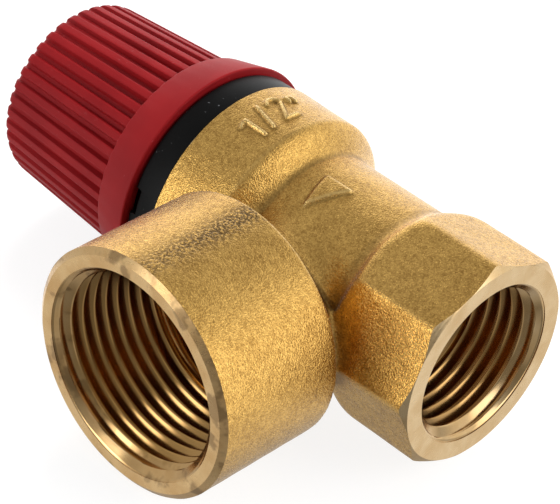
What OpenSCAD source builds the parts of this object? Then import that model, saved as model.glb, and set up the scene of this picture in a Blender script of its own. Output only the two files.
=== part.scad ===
// Pressure relief valve, diaphragm type, with a turn-to-test knob.
// The valve lies on its side: the main axis runs along X with the inlet facing +X and the knob
// at the -X end, and the outlet faces -Y. The origin is on the inlet axis, at the first thread.
// Heights are measured along the main axis from the inlet face towards the knob.

/* [Inlet] */
// Major diameter of the inlet thread (half inch pipe thread)
inlet_thread_d = 20.955; // [18:0.001:22]
// Length of the inlet thread
inlet_thread_length = 9.2; // [6:0.1:10]
// Distance from the inlet face to the first thread
inlet_land = 1.8; // [1.7:0.1:2.4]
// Radial room that the inlet's countersink leaves round the thread, at the face
inlet_mouth_room = 0.12; // [0.05:0.01:0.3]
// Depth of the countersink, which narrows from the inlet face to the thread's crests
inlet_countersink = 1.25; // [0.8:0.05:1.6]
// Width across the flats of the octagon
octagon_flats = 26; // [25:0.5:30]
// Length of the octagon's full section
octagon_length = 10; // [6:0.1:12]
// Length over which the octagon's corners round away into the neck
octagon_fade = 3.5; // [2.5:0.1:6]
// Depth of the turned chamfer round the inlet face
inlet_chamfer = 0.75; // [0.3:0.05:1.5]

/* [Outlet] */
// Major diameter of the outlet thread (three quarter inch pipe thread)
outlet_thread_d = 26.441; // [24:0.001:27]
// Length of the outlet thread
outlet_thread_length = 14.6; // [8:0.1:14.8]
// Distance from the outlet face to the first thread
outlet_land = 1.6; // [1.4:0.1:2]
// Radial room that the outlet's countersink leaves round the thread, at the face
outlet_mouth_room = 0.08; // [0.05:0.01:0.3]
// Depth of the countersink, which narrows from the outlet face to the thread's crests
outlet_countersink = 1.15; // [0.8:0.05:1.3]
// Outside diameter of the outlet boss
outlet_boss_d = 31.2; // [30:0.1:34]
// Distance from the main axis to the outlet face
outlet_reach = 33.6; // [32:0.1:40]
// Height of the outlet axis above the inlet face
outlet_height = 24.25; // [23.5:0.05:25]
// Distance from the main axis to the back of the outlet boss
outlet_back = 15.6; // [15.4:0.1:16.2]
// Radius of the rounded edge at the back of the outlet boss
outlet_back_r = 1; // [0.5:0.1:1.4]
// Diameter of the stub that joins the outlet boss to the neck
outlet_stub_d = 19; // [17:0.1:21]
// Distance from the main axis at which the stub starts to widen to the boss
outlet_stub_end = 11.5; // [10.5:0.1:12.5]
// Depth of the turned chamfer round the outlet face
outlet_chamfer = 0.6; // [0.3:0.05:1.2]
// Radial width of that chamfer
outlet_chamfer_w = 0.8; // [0.4:0.05:1.4]
// Diameter of the passage from the valve chamber to the outlet thread
passage_d = 11; // [8:0.1:11.2]

/* [Thread form] */
// Pitch of both pipe threads
thread_pitch = 1.814; // [1.2:0.001:2.3]
// Depth of the thread form
thread_depth = 1.162; // [0.8:0.001:1.3]
// Width of the flat on each thread crest
thread_crest = 0.45; // [0.3:0.01:0.6]

/* [Neck and spring housing] */
// Diameter of the neck between the inlet and the housing
neck_d = 24.2; // [23:0.1:26]
// Diameter of the housing barrel at its shoulder
housing_low_d = 30.4; // [29.6:0.1:32]
// Diameter of the housing barrel at its rim
housing_top_d = 30.6; // [30:0.1:33]
// Height at which the neck starts to widen to the housing
shoulder_height = 28.9; // [28:0.1:29.4]
// Length over which it widens
shoulder_length = 3.6; // [2.5:0.1:4.2]
// Height of the housing rim
housing_top = 41.1; // [40:0.1:44]
// Bore of the housing that takes the bonnet's spigot
housing_bore_d = 26.2; // [25:0.1:26.6]
// Bore of the valve chamber in the neck
chamber_d = 19.2; // [18:0.1:20]
// Height of the chamber floor
chamber_floor = 14.6; // [14:0.1:15.5]
// Thickness of the wall between inlet and chamber
floor_wall = 2.2; // [1.5:0.1:2.6]
// Height of the ledge that carries the diaphragm
ledge_height = 31.5; // [30.8:0.1:32.5]
// Height of the flow arrow above the neck
arrow_rise = 0.5; // [0.3:0.05:0.8]
// Width of the flow arrow's base
arrow_base = 4.6; // [3:0.1:6]
// Length of the flow arrow
arrow_length = 5.6; // [4:0.1:8]
// Distance of the flow arrow's base from the main axis
arrow_offset = 0.8; // [0:0.1:2]
// How far the arrow's tip leans towards the housing
arrow_lean = 1; // [0:0.1:2]

/* [Seat and disc] */
// Bore of the seat
seat_bore_d = 11; // [10:0.1:12]
// Wall of the seat tube
seat_wall = 1.9; // [1.4:0.1:2.2]
// Height of the seat lip
seat_height = 20.5; // [19:0.1:21.5]
// Width of the seat lip
seat_lip = 0.7; // [0.4:0.1:1.2]
// Depth of the bevel outside the seat lip
seat_bevel = 0.8; // [0.4:0.1:1.2]
// Thickness of the rubber seat disc
seat_disc_t = 2; // [1.5:0.1:2.6]
// Diameter of the rubber seat disc
seat_disc_d = 13.8; // [13.4:0.1:14.2]
// How far the seat disc stands out of its cup
seat_disc_proud = 0.65; // [0.3:0.05:1]
// Wall of the cup round the seat disc
cup_wall = 1; // [0.7:0.05:1.2]
// Diameter of the waist of the disc holder
holder_waist_d = 10; // [8.4:0.1:11]
// Thickness of the disc holder's top flange
holder_flange_t = 1.4; // [1:0.1:2]
// Diameter of the disc holder's flange and of the washer on it
holder_flange_d = 14.8; // [12:0.1:15.2]
// Diameter of the washer under the seat disc
disc_washer_d = 8.4; // [6.6:0.1:9]
// Thickness of the washer under the seat disc
disc_washer_t = 0.7; // [0.5:0.1:1.2]
// Shank diameter of the disc screw
disc_screw_d = 3; // [2.5:0.1:3.4]
// Head diameter of the disc screw
disc_screw_head_d = 5.4; // [4.8:0.1:6]
// Head height of the disc screw
disc_screw_head_h = 1.8; // [1.2:0.1:2.4]
// Share of the disc holder, above the seat disc, that the disc screw reaches into
disc_screw_share = 0.38; // [0.3:0.01:0.45]

/* [Diaphragm] */
// Thickness of the diaphragm
diaphragm_t = 1.2; // [0.8:0.1:1.6]
// Radius of the diaphragm's rolled fold
fold_r = 0.9; // [0.6:0.05:1]
// Radius, from the main axis, of the middle of the fold
fold_at_r = 8.75; // [8.6:0.05:9]
// Thickness of the washer under the diaphragm
diaphragm_washer_t = 0.6; // [0.4:0.1:1]
// Thickness of the slip ring on the diaphragm's rim
slip_ring_t = 1.2; // [0.8:0.1:1.8]
// Inside diameter of the slip ring
slip_ring_inner_d = 20.6; // [20.2:0.1:21.4]

/* [Stem] */
// Diameter of the stem
stem_d = 5; // [4.4:0.1:5.4]
// Diameter of the stem's spigot in the knob
stem_spigot_d = 3.8; // [3.4:0.1:4]
// Share of the disc holder, above the seat disc, that the stem's thread takes
stem_share = 0.48; // [0.35:0.01:0.5]
// Width across the flats of the stem nut
stem_nut_flats = 8; // [7.4:0.1:8.6]
// Height of the stem nut
stem_nut_h = 3.2; // [2.4:0.1:4]

/* [Spring] */
// Wire diameter of the spring
spring_wire_d = 2.2; // [1.6:0.05:2.3]
// Mean diameter of the spring's coils
spring_mean_d = 13.2; // [12.8:0.1:13.4]
// Number of turns
spring_turns = 5.5; // [4:0.25:5.75]
// Thickness of the lower spring plate
spring_plate_t = 1.6; // [1.2:0.1:2.2]
// Diameter of the lower spring plate
spring_plate_d = 15.4; // [15:0.1:15.6]
// Diameter of the plate's hub, inside the spring
spring_hub_d = 9.6; // [9.2:0.1:10]
// Height of the plate's hub
spring_hub_h = 1; // [0.6:0.1:1.6]
// Height of the spring between its two seats
spring_height = 18.7; // [18:0.1:20]
// Thickness of the upper spring washer
spring_washer_t = 1; // [0.8:0.1:1.5]
// Height of the adjusting nut
adjusting_nut_h = 4.5; // [3.5:0.1:5]
// Width of the tool slots in the adjusting nut
tool_slot_w = 2; // [1.4:0.1:2.6]
// Depth of those slots
tool_slot_depth = 1.4; // [0.8:0.1:2]
// Outside diameter of the guide bush
guide_bush_d = 8; // [7:0.1:9]
// Diameter of the guide bush's flange
guide_flange_d = 10.4; // [9.6:0.1:11]
// Thickness of the guide bush's flange
guide_flange_t = 1.2; // [0.8:0.1:1.6]

/* [Bonnet] */
// Outside diameter of the visible collar
collar_d = 30.2; // [29:0.1:31.6]
// Height of the visible collar
collar_h = 3.9; // [2.5:0.1:6]
// Diameter of the step inside the knob's skirt
register_d = 26.8; // [26.4:0.1:27.2]
// Height of that step
register_h = 1.5; // [1:0.1:2]
// Inside diameter of the spigot
spigot_bore_d = 20.8; // [20:0.1:21.4]
// Outside diameter of the spring tube
tube_d = 20.4; // [20:0.1:20.8]
// Inside diameter of the spring tube
tube_bore_d = 17.8; // [17:0.1:18]
// Height of the spring tube above the adjusting nut
tube_margin = 1.5; // [0.5:0.1:2]
// Small edge rounding on the collar, as a bevel
collar_bevel = 0.35; // [0.2:0.05:0.6]
// Width of the notch in the collar's rim, next to the skirt
collar_notch_w = 3.2; // [2:0.1:5]
// Depth of that notch
collar_notch_depth = 0.9; // [0.5:0.1:1.5]
// Turn of that notch about the main axis, from the outlet towards the top
collar_notch_turn = 16; // [0:1:45]

/* [Test cam] */
// Lift of the stem at the end of the knob's turn
lift_travel = 2; // [1:0.1:2.4]
// Turn of the knob that gives this lift
turn_range = 75; // [60:1:80]
// Number of ramps on each cam ring
ramp_count = 4; // [4:1:4]
// Angle that each ramp covers
ramp_span = 86; // [82:1:87]
// Height of the lowest end of a ramp
ramp_foot = 0.3; // [0.2:0.05:0.5]
// Inside diameter of the cam rings
ramp_inner_d = 22.6; // [22.4:0.1:23]
// Radial width of the cam rings
ramp_width = 1.8; // [1.2:0.1:1.9]

/* [Knob] */
// Length of the knob
knob_length = 26.1; // [25.6:0.1:30]
// Diameter of the skirt at its open edge
skirt_low_d = 31.8; // [31:0.1:34]
// Diameter of the skirt where the ribs start
skirt_top_d = 29; // [28.6:0.1:30]
// Height of the skirt
skirt_h = 5.7; // [5.2:0.1:7]
// Diameter over the ribs, next to the skirt
rib_low_d = 27.5; // [27:0.1:28.4]
// Diameter over the ribs, at the knob's end
rib_end_d = 24.8; // [24.4:0.1:26]
// Number of ribs
rib_count = 40; // [32:1:44]
// Radius of the grooves between the ribs
groove_r = 0.62; // [0.5:0.01:0.7]
// Depth of the grooves next to the skirt
groove_depth = 0.8; // [0.5:0.05:0.9]
// Depth of the grooves at the knob's end, where they run out
groove_end_depth = 0.4; // [0.3:0.05:0.6]
// Rounding of the knob's end edge, as a bevel
knob_end_bevel = 0.9; // [0.4:0.1:1.4]
// Bore of the knob round the spring tube
knob_bore_d = 21.8; // [21.4:0.1:22.2]
// Bore of the skirt round the register
skirt_bore_d = 27.8; // [27.6:0.1:28]
// Height of the knob's inner shoulder above the open edge
knob_shoulder_h = 4.5; // [4.2:0.1:4.8]
// Thickness of the knob's hub web
hub_t = 2.5; // [1.8:0.1:3]
// Diameter of the recess in the knob's end
recess_d = 14.4; // [13:0.1:15]
// Depth of the recess
recess_depth = 4.4; // [4:0.1:5.2]
// Wall of the cup round the recess
recess_wall = 1.4; // [1:0.1:1.6]
// Thickness of the knob's end wall
end_wall = 1.8; // [1.2:0.1:2.4]
// Thickness of the end cap
end_cap_t = 1.2; // [0.8:0.1:1.6]
// Diameter of the knob screw's head
knob_screw_head_d = 5.6; // [5:0.1:6.4]
// Height of the knob screw's head
knob_screw_head_h = 1.8; // [1.2:0.1:1.9]
// Shank diameter of the knob screw
knob_screw_d = 2.5; // [2:0.1:2.6]
// Length of the knob screw's shank
knob_screw_length = 9; // [6:0.1:12]
// Diameter of the washers at the knob's hub
hub_washer_d = 8; // [6.6:0.1:9]
// Thickness of the washer under the knob screw
knob_washer_t = 0.7; // [0.5:0.1:1]
// Thickness of the thrust washer under the hub
thrust_washer_t = 0.5; // [0.4:0.1:0.8]

/* [Clearances] */
// Radial clearance of a turning or sliding fit
running_gap = 0.05; // [0.02:0.01:0.08]
// Radial clearance of parts that only locate each other
locating_gap = 0.1; // [0.05:0.01:0.2]
// Axial clearance between a closed moving face and its stop
face_gap = 0.05; // [0.02:0.01:0.1]
// Gap between the knob's skirt and the collar
skirt_gap = 0.3; // [0.2:0.05:0.6]
// Gap between the two cam rings
cam_gap = 0.15; // [0.1:0.01:0.25]

/* [Hidden] */
$fn = 96;
// Overshoot of a cutter past the face that it opens
over = 1;
// Overlap of two shapes that are joined into one piece
bond = 0.2;
// Steps in a rounded outline and in a ramp
round_steps = 10;
ramp_steps = 24;
octagon_sides = 8;
hex_sides = 6;
tool_slots = 2;

// Colours
brass = [0.79, 0.61, 0.3];
steel = [0.72, 0.73, 0.75];
rubber = [0.12, 0.12, 0.12];
black_plastic = [0.1, 0.1, 0.1];
red_plastic = [0.66, 0.1, 0.12];
white_plastic = [0.85, 0.85, 0.82];

// Body
inlet_minor_r = inlet_thread_d / 2 - thread_depth;
outlet_minor_r = outlet_thread_d / 2 - thread_depth;
inlet_floor = chamber_floor - floor_wall;
octagon_corner_r = octagon_flats / 2 / cos(180 / octagon_sides);
nozzle_r = seat_bore_d / 2 + seat_wall;
passage_start = nozzle_r + bond;

// Stack on the stem, from the seat upwards
disc_bottom = seat_height + face_gap;
disc_top = disc_bottom + seat_disc_t;
cup_rim = disc_bottom + seat_disc_proud;
cup_bore_r = seat_disc_d / 2 + locating_gap;
cup_r = cup_bore_r + cup_wall;
cup_roof = disc_top + cup_wall;
diaphragm_top = ledge_height + diaphragm_t;
holder_top = ledge_height - diaphragm_washer_t;
holder_flange_bottom = holder_top - holder_flange_t;
plate_seat = diaphragm_top + spring_plate_t;
plate_top = plate_seat + spring_hub_h;
stem_engagement = stem_share * (holder_top - disc_top);
stem_bottom = holder_top - stem_engagement;
disc_screw_top = disc_top + disc_screw_share * (holder_top - disc_top);

// Spring and its upper seat
spring_top = plate_seat + spring_height;
nut_bottom = spring_top + spring_washer_t;
nut_top = nut_bottom + adjusting_nut_h;
spring_wire_r = spring_wire_d / 2;
spring_base = plate_seat + spring_wire_r + face_gap;
spring_rise = spring_height - spring_wire_d - 2 * face_gap;

// Bonnet and cam
spigot_bottom = diaphragm_top + slip_ring_t;
spigot_r = housing_bore_d / 2 - locating_gap;
collar_top = housing_top + collar_h;
register_top = collar_top + register_h;
tube_top = nut_top + tube_margin;
ramp_lead = lift_travel / turn_range;
ramp_outer_r = ramp_inner_d / 2 + ramp_width;
ramp_pitch = 360 / ramp_count;

// Knob
knob_low = collar_top + skirt_gap;
knob_end = knob_low + knob_length;
knob_shoulder = knob_low + knob_shoulder_h;
skirt_top = knob_low + skirt_h;
groove_drop = (rib_low_d - rib_end_d) / 2 - groove_depth + groove_end_depth;
groove_taper = atan(groove_drop / (knob_end - skirt_top));
recess_floor = knob_end - recess_depth;
hub_low = recess_floor - hub_t;
stem_shoulder = hub_low - face_gap - thrust_washer_t;
spigot_end = recess_floor + face_gap;
screw_seat = spigot_end + knob_washer_t;
lighten_top = knob_end - end_wall;

// Places its children on the main axis, with local +Z running from the inlet face to the knob.
module on_main_axis() {
    translate([inlet_land, 0, 0]) rotate([0, -90, 0]) children();
}

// Places its children on the outlet axis, with local +Z running from the main axis to the outlet face.
module on_outlet_axis() {
    translate([inlet_land - outlet_height, 0, 0]) rotate([90, 0, 0]) children();
}

// A solid of revolution from an outline of [radius, height] points.
module turned(outline) {
    rotate_extrude() polygon(outline);
}

// A plain ring or disc on the axis.
module ring(inner_r, outer_r, low, high) {
    turned([[inner_r, low], [outer_r, low], [outer_r, high], [inner_r, high]]);
}

// Points of a round outline stretch between two angles.
function arc(centre, radius, from_angle, to_angle) = [
    for (step = [0 : round_steps])
        let (angle = from_angle + (to_angle - from_angle) * step / round_steps)
            centre + radius * [cos(angle), sin(angle)]
];

// Outline of a threaded bore, cut from its mouth at height 0 upwards: countersink, thread rings
// whose crests stand at the minor radius, and the plain bore behind them.
function threaded_outline(major_d, land, room, countersink, thread_length, depth) =
    let (major_r = major_d / 2, minor_r = major_r - thread_depth,
         spread = (thread_depth + room) / countersink,
         turns = floor(thread_length / thread_pitch), slope = (thread_pitch - thread_crest) / 2)
    concat(
        [[0, -over], [major_r + room + spread * over, -over], [minor_r, countersink]],
        [for (turn = [0 : turns - 1])
            let (start = land + turn * thread_pitch)
            each [[minor_r, start], [minor_r, start + thread_crest],
                  [major_r, start + thread_crest + slope]]],
        [[minor_r, land + turns * thread_pitch], [minor_r, depth], [0, depth]]);

// The octagon end with its turned mouth chamfer and its corners rounded away into the neck.
module octagon_end() {
    fade_end = octagon_length + octagon_fade;
    fade_drop = octagon_corner_r - neck_d / 2;
    envelope = concat(
        [[0, 0], [octagon_flats / 2, 0], [octagon_corner_r, inlet_chamfer]],
        [for (step = [0 : round_steps])
            let (angle = 90 * step / round_steps)
                [neck_d / 2 + fade_drop * cos(angle), octagon_length + octagon_fade * sin(angle)]],
        [[0, fade_end]]);
    intersection() {
        cylinder(r = octagon_corner_r, h = fade_end, $fn = octagon_sides);
        turned(envelope);
    }
}

// Neck and housing barrel, with an S-shaped shoulder between them.
module barrel() {
    neck_r = neck_d / 2;
    widening = housing_low_d / 2 - neck_r;
    turned(concat([[0, octagon_length], [neck_r, octagon_length]],
                  [for (step = [0 : round_steps])
                      let (share = step / round_steps)
                          [neck_r + widening * share * share * (3 - 2 * share),
                           shoulder_height + shoulder_length * share]],
                  [[housing_top_d / 2, housing_top], [0, housing_top]]));
    cylinder(d = neck_d, h = shoulder_height);
}

// The round outlet boss: stub from the neck, rounded back edge, straight barrel and chamfered mouth.
module outlet_boss() {
    boss_r = outlet_boss_d / 2;
    stub_r = outlet_stub_d / 2;
    back_centre = [boss_r - outlet_back_r, outlet_back + outlet_back_r];
    turned(concat([[0, 0], [stub_r, 0], [stub_r, outlet_stub_end]],
                  arc(back_centre, outlet_back_r, -90, 0),
                  [[boss_r, outlet_reach - outlet_chamfer],
                   [boss_r - outlet_chamfer_w, outlet_reach], [0, outlet_reach]]));
}

// The raised flow arrow on the neck, pointing out of the outlet.
module flow_arrow() {
    arrow_top = neck_d / 2 + arrow_rise;
    intersection() {
        translate([inlet_land - outlet_height, 0, 0])
            linear_extrude(height = arrow_top + over)
                polygon([[-arrow_base / 2, -arrow_offset], [arrow_base / 2, -arrow_offset],
                         [-arrow_lean, -arrow_offset - arrow_length]]);
        on_main_axis() cylinder(r = arrow_top, h = housing_top);
    }
}

// Everything that is cut out of the body.
module body_hollows() {
    on_main_axis() {
        turned(threaded_outline(inlet_thread_d, inlet_land, inlet_mouth_room, inlet_countersink,
                                inlet_thread_length, inlet_floor));
        cylinder(d = seat_bore_d, h = seat_height + over);
        ring(nozzle_r, chamber_d / 2, chamber_floor, ledge_height + over);
        lip_r = seat_bore_d / 2 + seat_lip;
        turned([[0, seat_height], [lip_r, seat_height], [nozzle_r + bond, seat_height - seat_bevel],
                [nozzle_r + bond, ledge_height + over], [0, ledge_height + over]]);
        translate([0, 0, ledge_height]) cylinder(d = housing_bore_d, h = housing_top);
    }
    on_outlet_axis() {
        translate([0, 0, passage_start]) cylinder(d = passage_d, h = outlet_reach);
        translate([0, 0, outlet_reach]) mirror([0, 0, 1])
            turned(threaded_outline(outlet_thread_d, outlet_land, outlet_mouth_room,
                                    outlet_countersink, outlet_thread_length,
                                    outlet_land + outlet_thread_length));
    }
}

module valve_body() {
    color(brass) difference() {
        union() {
            on_main_axis() octagon_end();
            on_main_axis() barrel();
            on_outlet_axis() outlet_boss();
            flow_arrow();
        }
        body_hollows();
    }
}

module seat_disc() {
    color(rubber) on_main_axis() ring(disc_screw_d / 2, seat_disc_d / 2, disc_bottom, disc_top);
}

module disc_washer() {
    color(steel) on_main_axis()
        ring(disc_screw_d / 2, disc_washer_d / 2, disc_bottom - disc_washer_t, disc_bottom);
}

module disc_screw() {
    head_top = disc_bottom - disc_washer_t;
    slot_depth = disc_screw_head_h / 2;
    color(steel) on_main_axis() difference() {
        turned([[0, head_top - disc_screw_head_h], [disc_screw_head_d / 2, head_top - disc_screw_head_h],
                [disc_screw_head_d / 2, head_top], [disc_screw_d / 2, head_top],
                [disc_screw_d / 2, disc_screw_top], [0, disc_screw_top]]);
        translate([-disc_screw_head_d, -slot_depth / 2, head_top - disc_screw_head_h - over])
            cube([2 * disc_screw_head_d, slot_depth, slot_depth + over]);
    }
}

module disc_holder() {
    color(brass) on_main_axis() difference() {
        turned([[0, disc_top], [cup_bore_r, disc_top], [cup_bore_r, cup_rim], [cup_r, cup_rim],
                [cup_r, cup_roof], [holder_waist_d / 2, cup_roof],
                [holder_waist_d / 2, holder_flange_bottom], [holder_flange_d / 2, holder_flange_bottom],
                [holder_flange_d / 2, holder_top], [0, holder_top]]);
        cylinder(d = disc_screw_d, h = disc_screw_top);
        translate([0, 0, stem_bottom]) cylinder(d = stem_d, h = stem_engagement + over);
    }
}

module diaphragm_washer() {
    color(steel) on_main_axis() ring(stem_d / 2, holder_flange_d / 2, holder_top, ledge_height);
}

// Flat rubber sheet with one rolled fold between its clamped middle and its clamped rim.
module diaphragm() {
    fold_inner_r = max(fold_r - diaphragm_t / 2, fold_r / 4);
    rim_r = housing_bore_d / 2 - locating_gap;
    color(rubber) on_main_axis() difference() {
        union() {
            ring(stem_d / 2, rim_r, ledge_height, diaphragm_top);
            rotate_extrude() translate([fold_at_r, diaphragm_top]) circle(r = fold_r);
        }
        rotate_extrude() translate([fold_at_r, ledge_height]) circle(r = fold_inner_r);
    }
}

module slip_ring() {
    color(steel) on_main_axis()
        ring(slip_ring_inner_d / 2, housing_bore_d / 2 - locating_gap, diaphragm_top, spigot_bottom);
}

module spring_plate() {
    color(steel) on_main_axis()
        turned([[stem_d / 2, diaphragm_top], [spring_plate_d / 2, diaphragm_top],
                [spring_plate_d / 2, plate_seat], [spring_hub_d / 2, plate_seat],
                [spring_hub_d / 2, plate_top], [stem_d / 2, plate_top]]);
}

module stem_nut() {
    color(steel) on_main_axis() difference() {
        translate([0, 0, plate_top])
            cylinder(d = stem_nut_flats / cos(180 / hex_sides), h = stem_nut_h, $fn = hex_sides);
        cylinder(d = stem_d, h = plate_top + stem_nut_h + over);
    }
}

module stem() {
    color(brass) on_main_axis() difference() {
        turned([[0, stem_bottom], [stem_d / 2, stem_bottom], [stem_d / 2, stem_shoulder],
                [stem_spigot_d / 2, stem_shoulder], [stem_spigot_d / 2, spigot_end], [0, spigot_end]]);
        translate([0, 0, screw_seat - knob_screw_length])
            cylinder(d = knob_screw_d, h = knob_screw_length + over);
    }
}

// Main spring: one unbroken tube along a helix, a ring of points at every eighth of a turn.
spring_rings_per_turn = 8;
spring_sides = 6;
spring_rings = round(spring_turns * spring_rings_per_turn);
function spring_point(ring_index, side) =
    let (turn_angle = 360 * spring_turns * ring_index / spring_rings,
         side_angle = 360 * side / spring_sides,
         reach = spring_mean_d / 2 + spring_wire_r * cos(side_angle))
    [reach * cos(turn_angle), reach * sin(turn_angle),
     spring_base + spring_rise * ring_index / spring_rings + spring_wire_r * sin(side_angle)];
function ring_points(ring_index) = [for (side = [0 : spring_sides - 1]) spring_point(ring_index, side)];
// Least distance between points of rings that lie about one turn apart
spring_gap = min([
    for (low = [0 : spring_rings - spring_rings_per_turn + 1])
        for (high = [low + spring_rings_per_turn - 1 : min(low + spring_rings_per_turn + 1, spring_rings)])
            for (p = ring_points(low))
                for (q = ring_points(high))
                    norm(q - p)
]);
echo(spring_self_gap = spring_gap);

module spring() {
    last = spring_rings * spring_sides;
    points = [for (ring_index = [0 : spring_rings]) each ring_points(ring_index)];
    skin = [
        for (ring_index = [0 : spring_rings - 1])
            for (side = [0 : spring_sides - 1])
                let (next = (side + 1) % spring_sides,
                     low = ring_index * spring_sides, high = low + spring_sides)
                each [[low + side, low + next, high + side], [low + next, high + next, high + side]]
    ];
    start_cap = [for (side = [1 : spring_sides - 2]) [0, side + 1, side]];
    end_cap_faces = [for (side = [1 : spring_sides - 2]) [last, last + side, last + side + 1]];
    color(steel) on_main_axis() polyhedron(points, concat(skin, start_cap, end_cap_faces));
}

module spring_washer() {
    color(steel) on_main_axis()
        ring(guide_bush_d / 2, tube_bore_d / 2 - locating_gap, spring_top, nut_bottom);
}

module adjusting_nut() {
    color(brass) on_main_axis() difference() {
        ring(guide_bush_d / 2, tube_bore_d / 2 - running_gap, nut_bottom, nut_top);
        for (slot = [0 : tool_slots - 1])
            rotate(180 * slot)
                translate([guide_flange_d / 2 + locating_gap, -tool_slot_w / 2, nut_top - tool_slot_depth])
                    cube([tube_bore_d, tool_slot_w, tool_slot_depth + over]);
    }
}

module guide_bush() {
    color(white_plastic) on_main_axis()
        turned([[stem_d / 2 + running_gap, nut_bottom], [guide_bush_d / 2, nut_bottom],
                [guide_bush_d / 2, nut_top], [guide_flange_d / 2, nut_top],
                [guide_flange_d / 2, nut_top + guide_flange_t],
                [stem_d / 2 + running_gap, nut_top + guide_flange_t]]);
}

// One cam ring: equal sectors, each between a lower and an upper level that may climb with the angle.
// The climb of each level is its rise per degree of turn.
module cam_ring(low, low_climb, high, high_climb) {
    inner_r = ramp_inner_d / 2;
    function corner(radius, angle, level) = [radius * cos(angle), radius * sin(angle), level];
    function section(angle) = [
        corner(inner_r, angle, low + low_climb * angle),
        corner(ramp_outer_r, angle, low + low_climb * angle),
        corner(ramp_outer_r, angle, high + high_climb * angle),
        corner(inner_r, angle, high + high_climb * angle)
    ];
    points = [for (step = [0 : ramp_steps]) each section(ramp_span * step / ramp_steps)];
    corner_count = len(section(0));
    last = ramp_steps * corner_count;
    skin = [
        for (step = [0 : ramp_steps - 1])
            for (edge = [0 : corner_count - 1])
                let (next = (edge + 1) % corner_count,
                     near = step * corner_count, far = near + corner_count)
                each [[near + edge, near + next, far + edge], [near + next, far + next, far + edge]]
    ];
    start_cap = [[0, 2, 1], [0, 3, 2]];
    far_cap = [[last, last + 1, last + 2], [last, last + 2, last + 3]];
    for (ramp = [0 : ramp_count - 1])
        rotate(ramp * ramp_pitch) polyhedron(points, concat(skin, start_cap, far_cap));
}

// The notch in the collar's rim, open outwards and towards the skirt.
module collar_notch() {
    rotate(collar_notch_turn - 90)
        translate([register_d / 2 + bond, -collar_notch_w / 2, collar_top - collar_notch_depth])
            cube([collar_d / 2, collar_notch_w, collar_notch_depth + over]);
}

// Spigot in the housing, visible collar, register inside the skirt and spring tube, with its cam ring.
module bonnet() {
    color(black_plastic) on_main_axis() {
        difference() {
            turned([[spigot_bore_d / 2, spigot_bottom], [spigot_r, spigot_bottom],
                    [spigot_r, housing_top], [collar_d / 2 - collar_bevel, housing_top],
                    [collar_d / 2, housing_top + collar_bevel],
                    [collar_d / 2, collar_top - collar_bevel],
                    [collar_d / 2 - collar_bevel, collar_top], [register_d / 2, collar_top],
                    [register_d / 2, register_top], [tube_d / 2, register_top],
                    [tube_d / 2, tube_top], [tube_bore_d / 2, tube_top],
                    [tube_bore_d / 2, collar_top], [spigot_bore_d / 2, housing_top]]);
            collar_notch();
        }
        cam_ring(register_top - bond, 0, register_top + ramp_foot, ramp_lead);
    }
}

// Grooves between the ribs, which grow shallower towards the knob's end. A rib stands at the top.
module rib_grooves() {
    groove_length = (knob_end - skirt_top) / cos(groove_taper) + over;
    rib_pitch = 360 / rib_count;
    for (rib = [0 : rib_count - 1])
        rotate(rib_pitch * rib + rib_pitch / 2)
            translate([rib_low_d / 2 - groove_depth + groove_r, 0, skirt_top])
                rotate([0, -groove_taper, 0]) cylinder(r = groove_r, h = groove_length);
}

module knob() {
    cup_outer_r = recess_d / 2 + recess_wall;
    color(red_plastic) on_main_axis() {
        difference() {
            turned([[skirt_bore_d / 2, knob_low], [skirt_low_d / 2, knob_low],
                    [skirt_top_d / 2, skirt_top], [rib_low_d / 2, skirt_top],
                    [rib_end_d / 2, knob_end - knob_end_bevel],
                    [rib_end_d / 2 - knob_end_bevel, knob_end], [recess_d / 2, knob_end],
                    [recess_d / 2, recess_floor], [stem_spigot_d / 2 + running_gap, recess_floor],
                    [stem_spigot_d / 2 + running_gap, hub_low], [cup_outer_r, hub_low],
                    [cup_outer_r, lighten_top], [knob_bore_d / 2, lighten_top],
                    [knob_bore_d / 2, knob_shoulder], [skirt_bore_d / 2, knob_shoulder]]);
            rib_grooves();
        }
        cam_ring(register_top + ramp_foot + cam_gap, ramp_lead, knob_shoulder + bond, 0);
    }
}

module thrust_washer() {
    color(steel) on_main_axis()
        ring(stem_spigot_d / 2, hub_washer_d / 2, stem_shoulder, stem_shoulder + thrust_washer_t);
}

module knob_washer() {
    color(steel) on_main_axis()
        ring(knob_screw_d / 2, hub_washer_d / 2, spigot_end, screw_seat);
}

module knob_screw() {
    head_top = screw_seat + knob_screw_head_h;
    slot_depth = knob_screw_head_h / 2;
    color(steel) on_main_axis() difference() {
        turned([[0, screw_seat - knob_screw_length], [knob_screw_d / 2, screw_seat - knob_screw_length],
                [knob_screw_d / 2, screw_seat], [knob_screw_head_d / 2, screw_seat],
                [knob_screw_head_d / 2, head_top], [0, head_top]]);
        translate([-knob_screw_head_d, -slot_depth / 2, head_top - slot_depth])
            cube([2 * knob_screw_head_d, slot_depth, slot_depth + over]);
    }
}

module end_cap() {
    color(red_plastic) on_main_axis()
        translate([0, 0, knob_end - end_cap_t]) cylinder(d = recess_d - 2 * running_gap, h = end_cap_t);
}

valve_body();
seat_disc();
disc_washer();
disc_screw();
disc_holder();
diaphragm_washer();
diaphragm();
slip_ring();
spring_plate();
stem_nut();
stem();
spring();
spring_washer();
adjusting_nut();
guide_bush();
bonnet();
knob();
thrust_washer();
knob_washer();
knob_screw();
end_cap();
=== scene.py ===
"""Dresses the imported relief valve: forged brass body, ribbed red knob, black collar and inner parts.

Shapes are worked out in millimetres in the part's own frame and go into the meshes in metres.
The main axis runs along X with the inlet facing +X, and the outlet faces -Y.
Heights on the main axis are measured from the inlet face towards the knob, and heights on the
outlet axis from the main axis towards the outlet face.
"""

import itertools
import logging
import math
from dataclasses import dataclass, field
from enum import Enum
from typing import Any, Callable, NamedTuple, Sequence

import bpy
import numpy as np
from mathutils import Matrix, Vector


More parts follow.
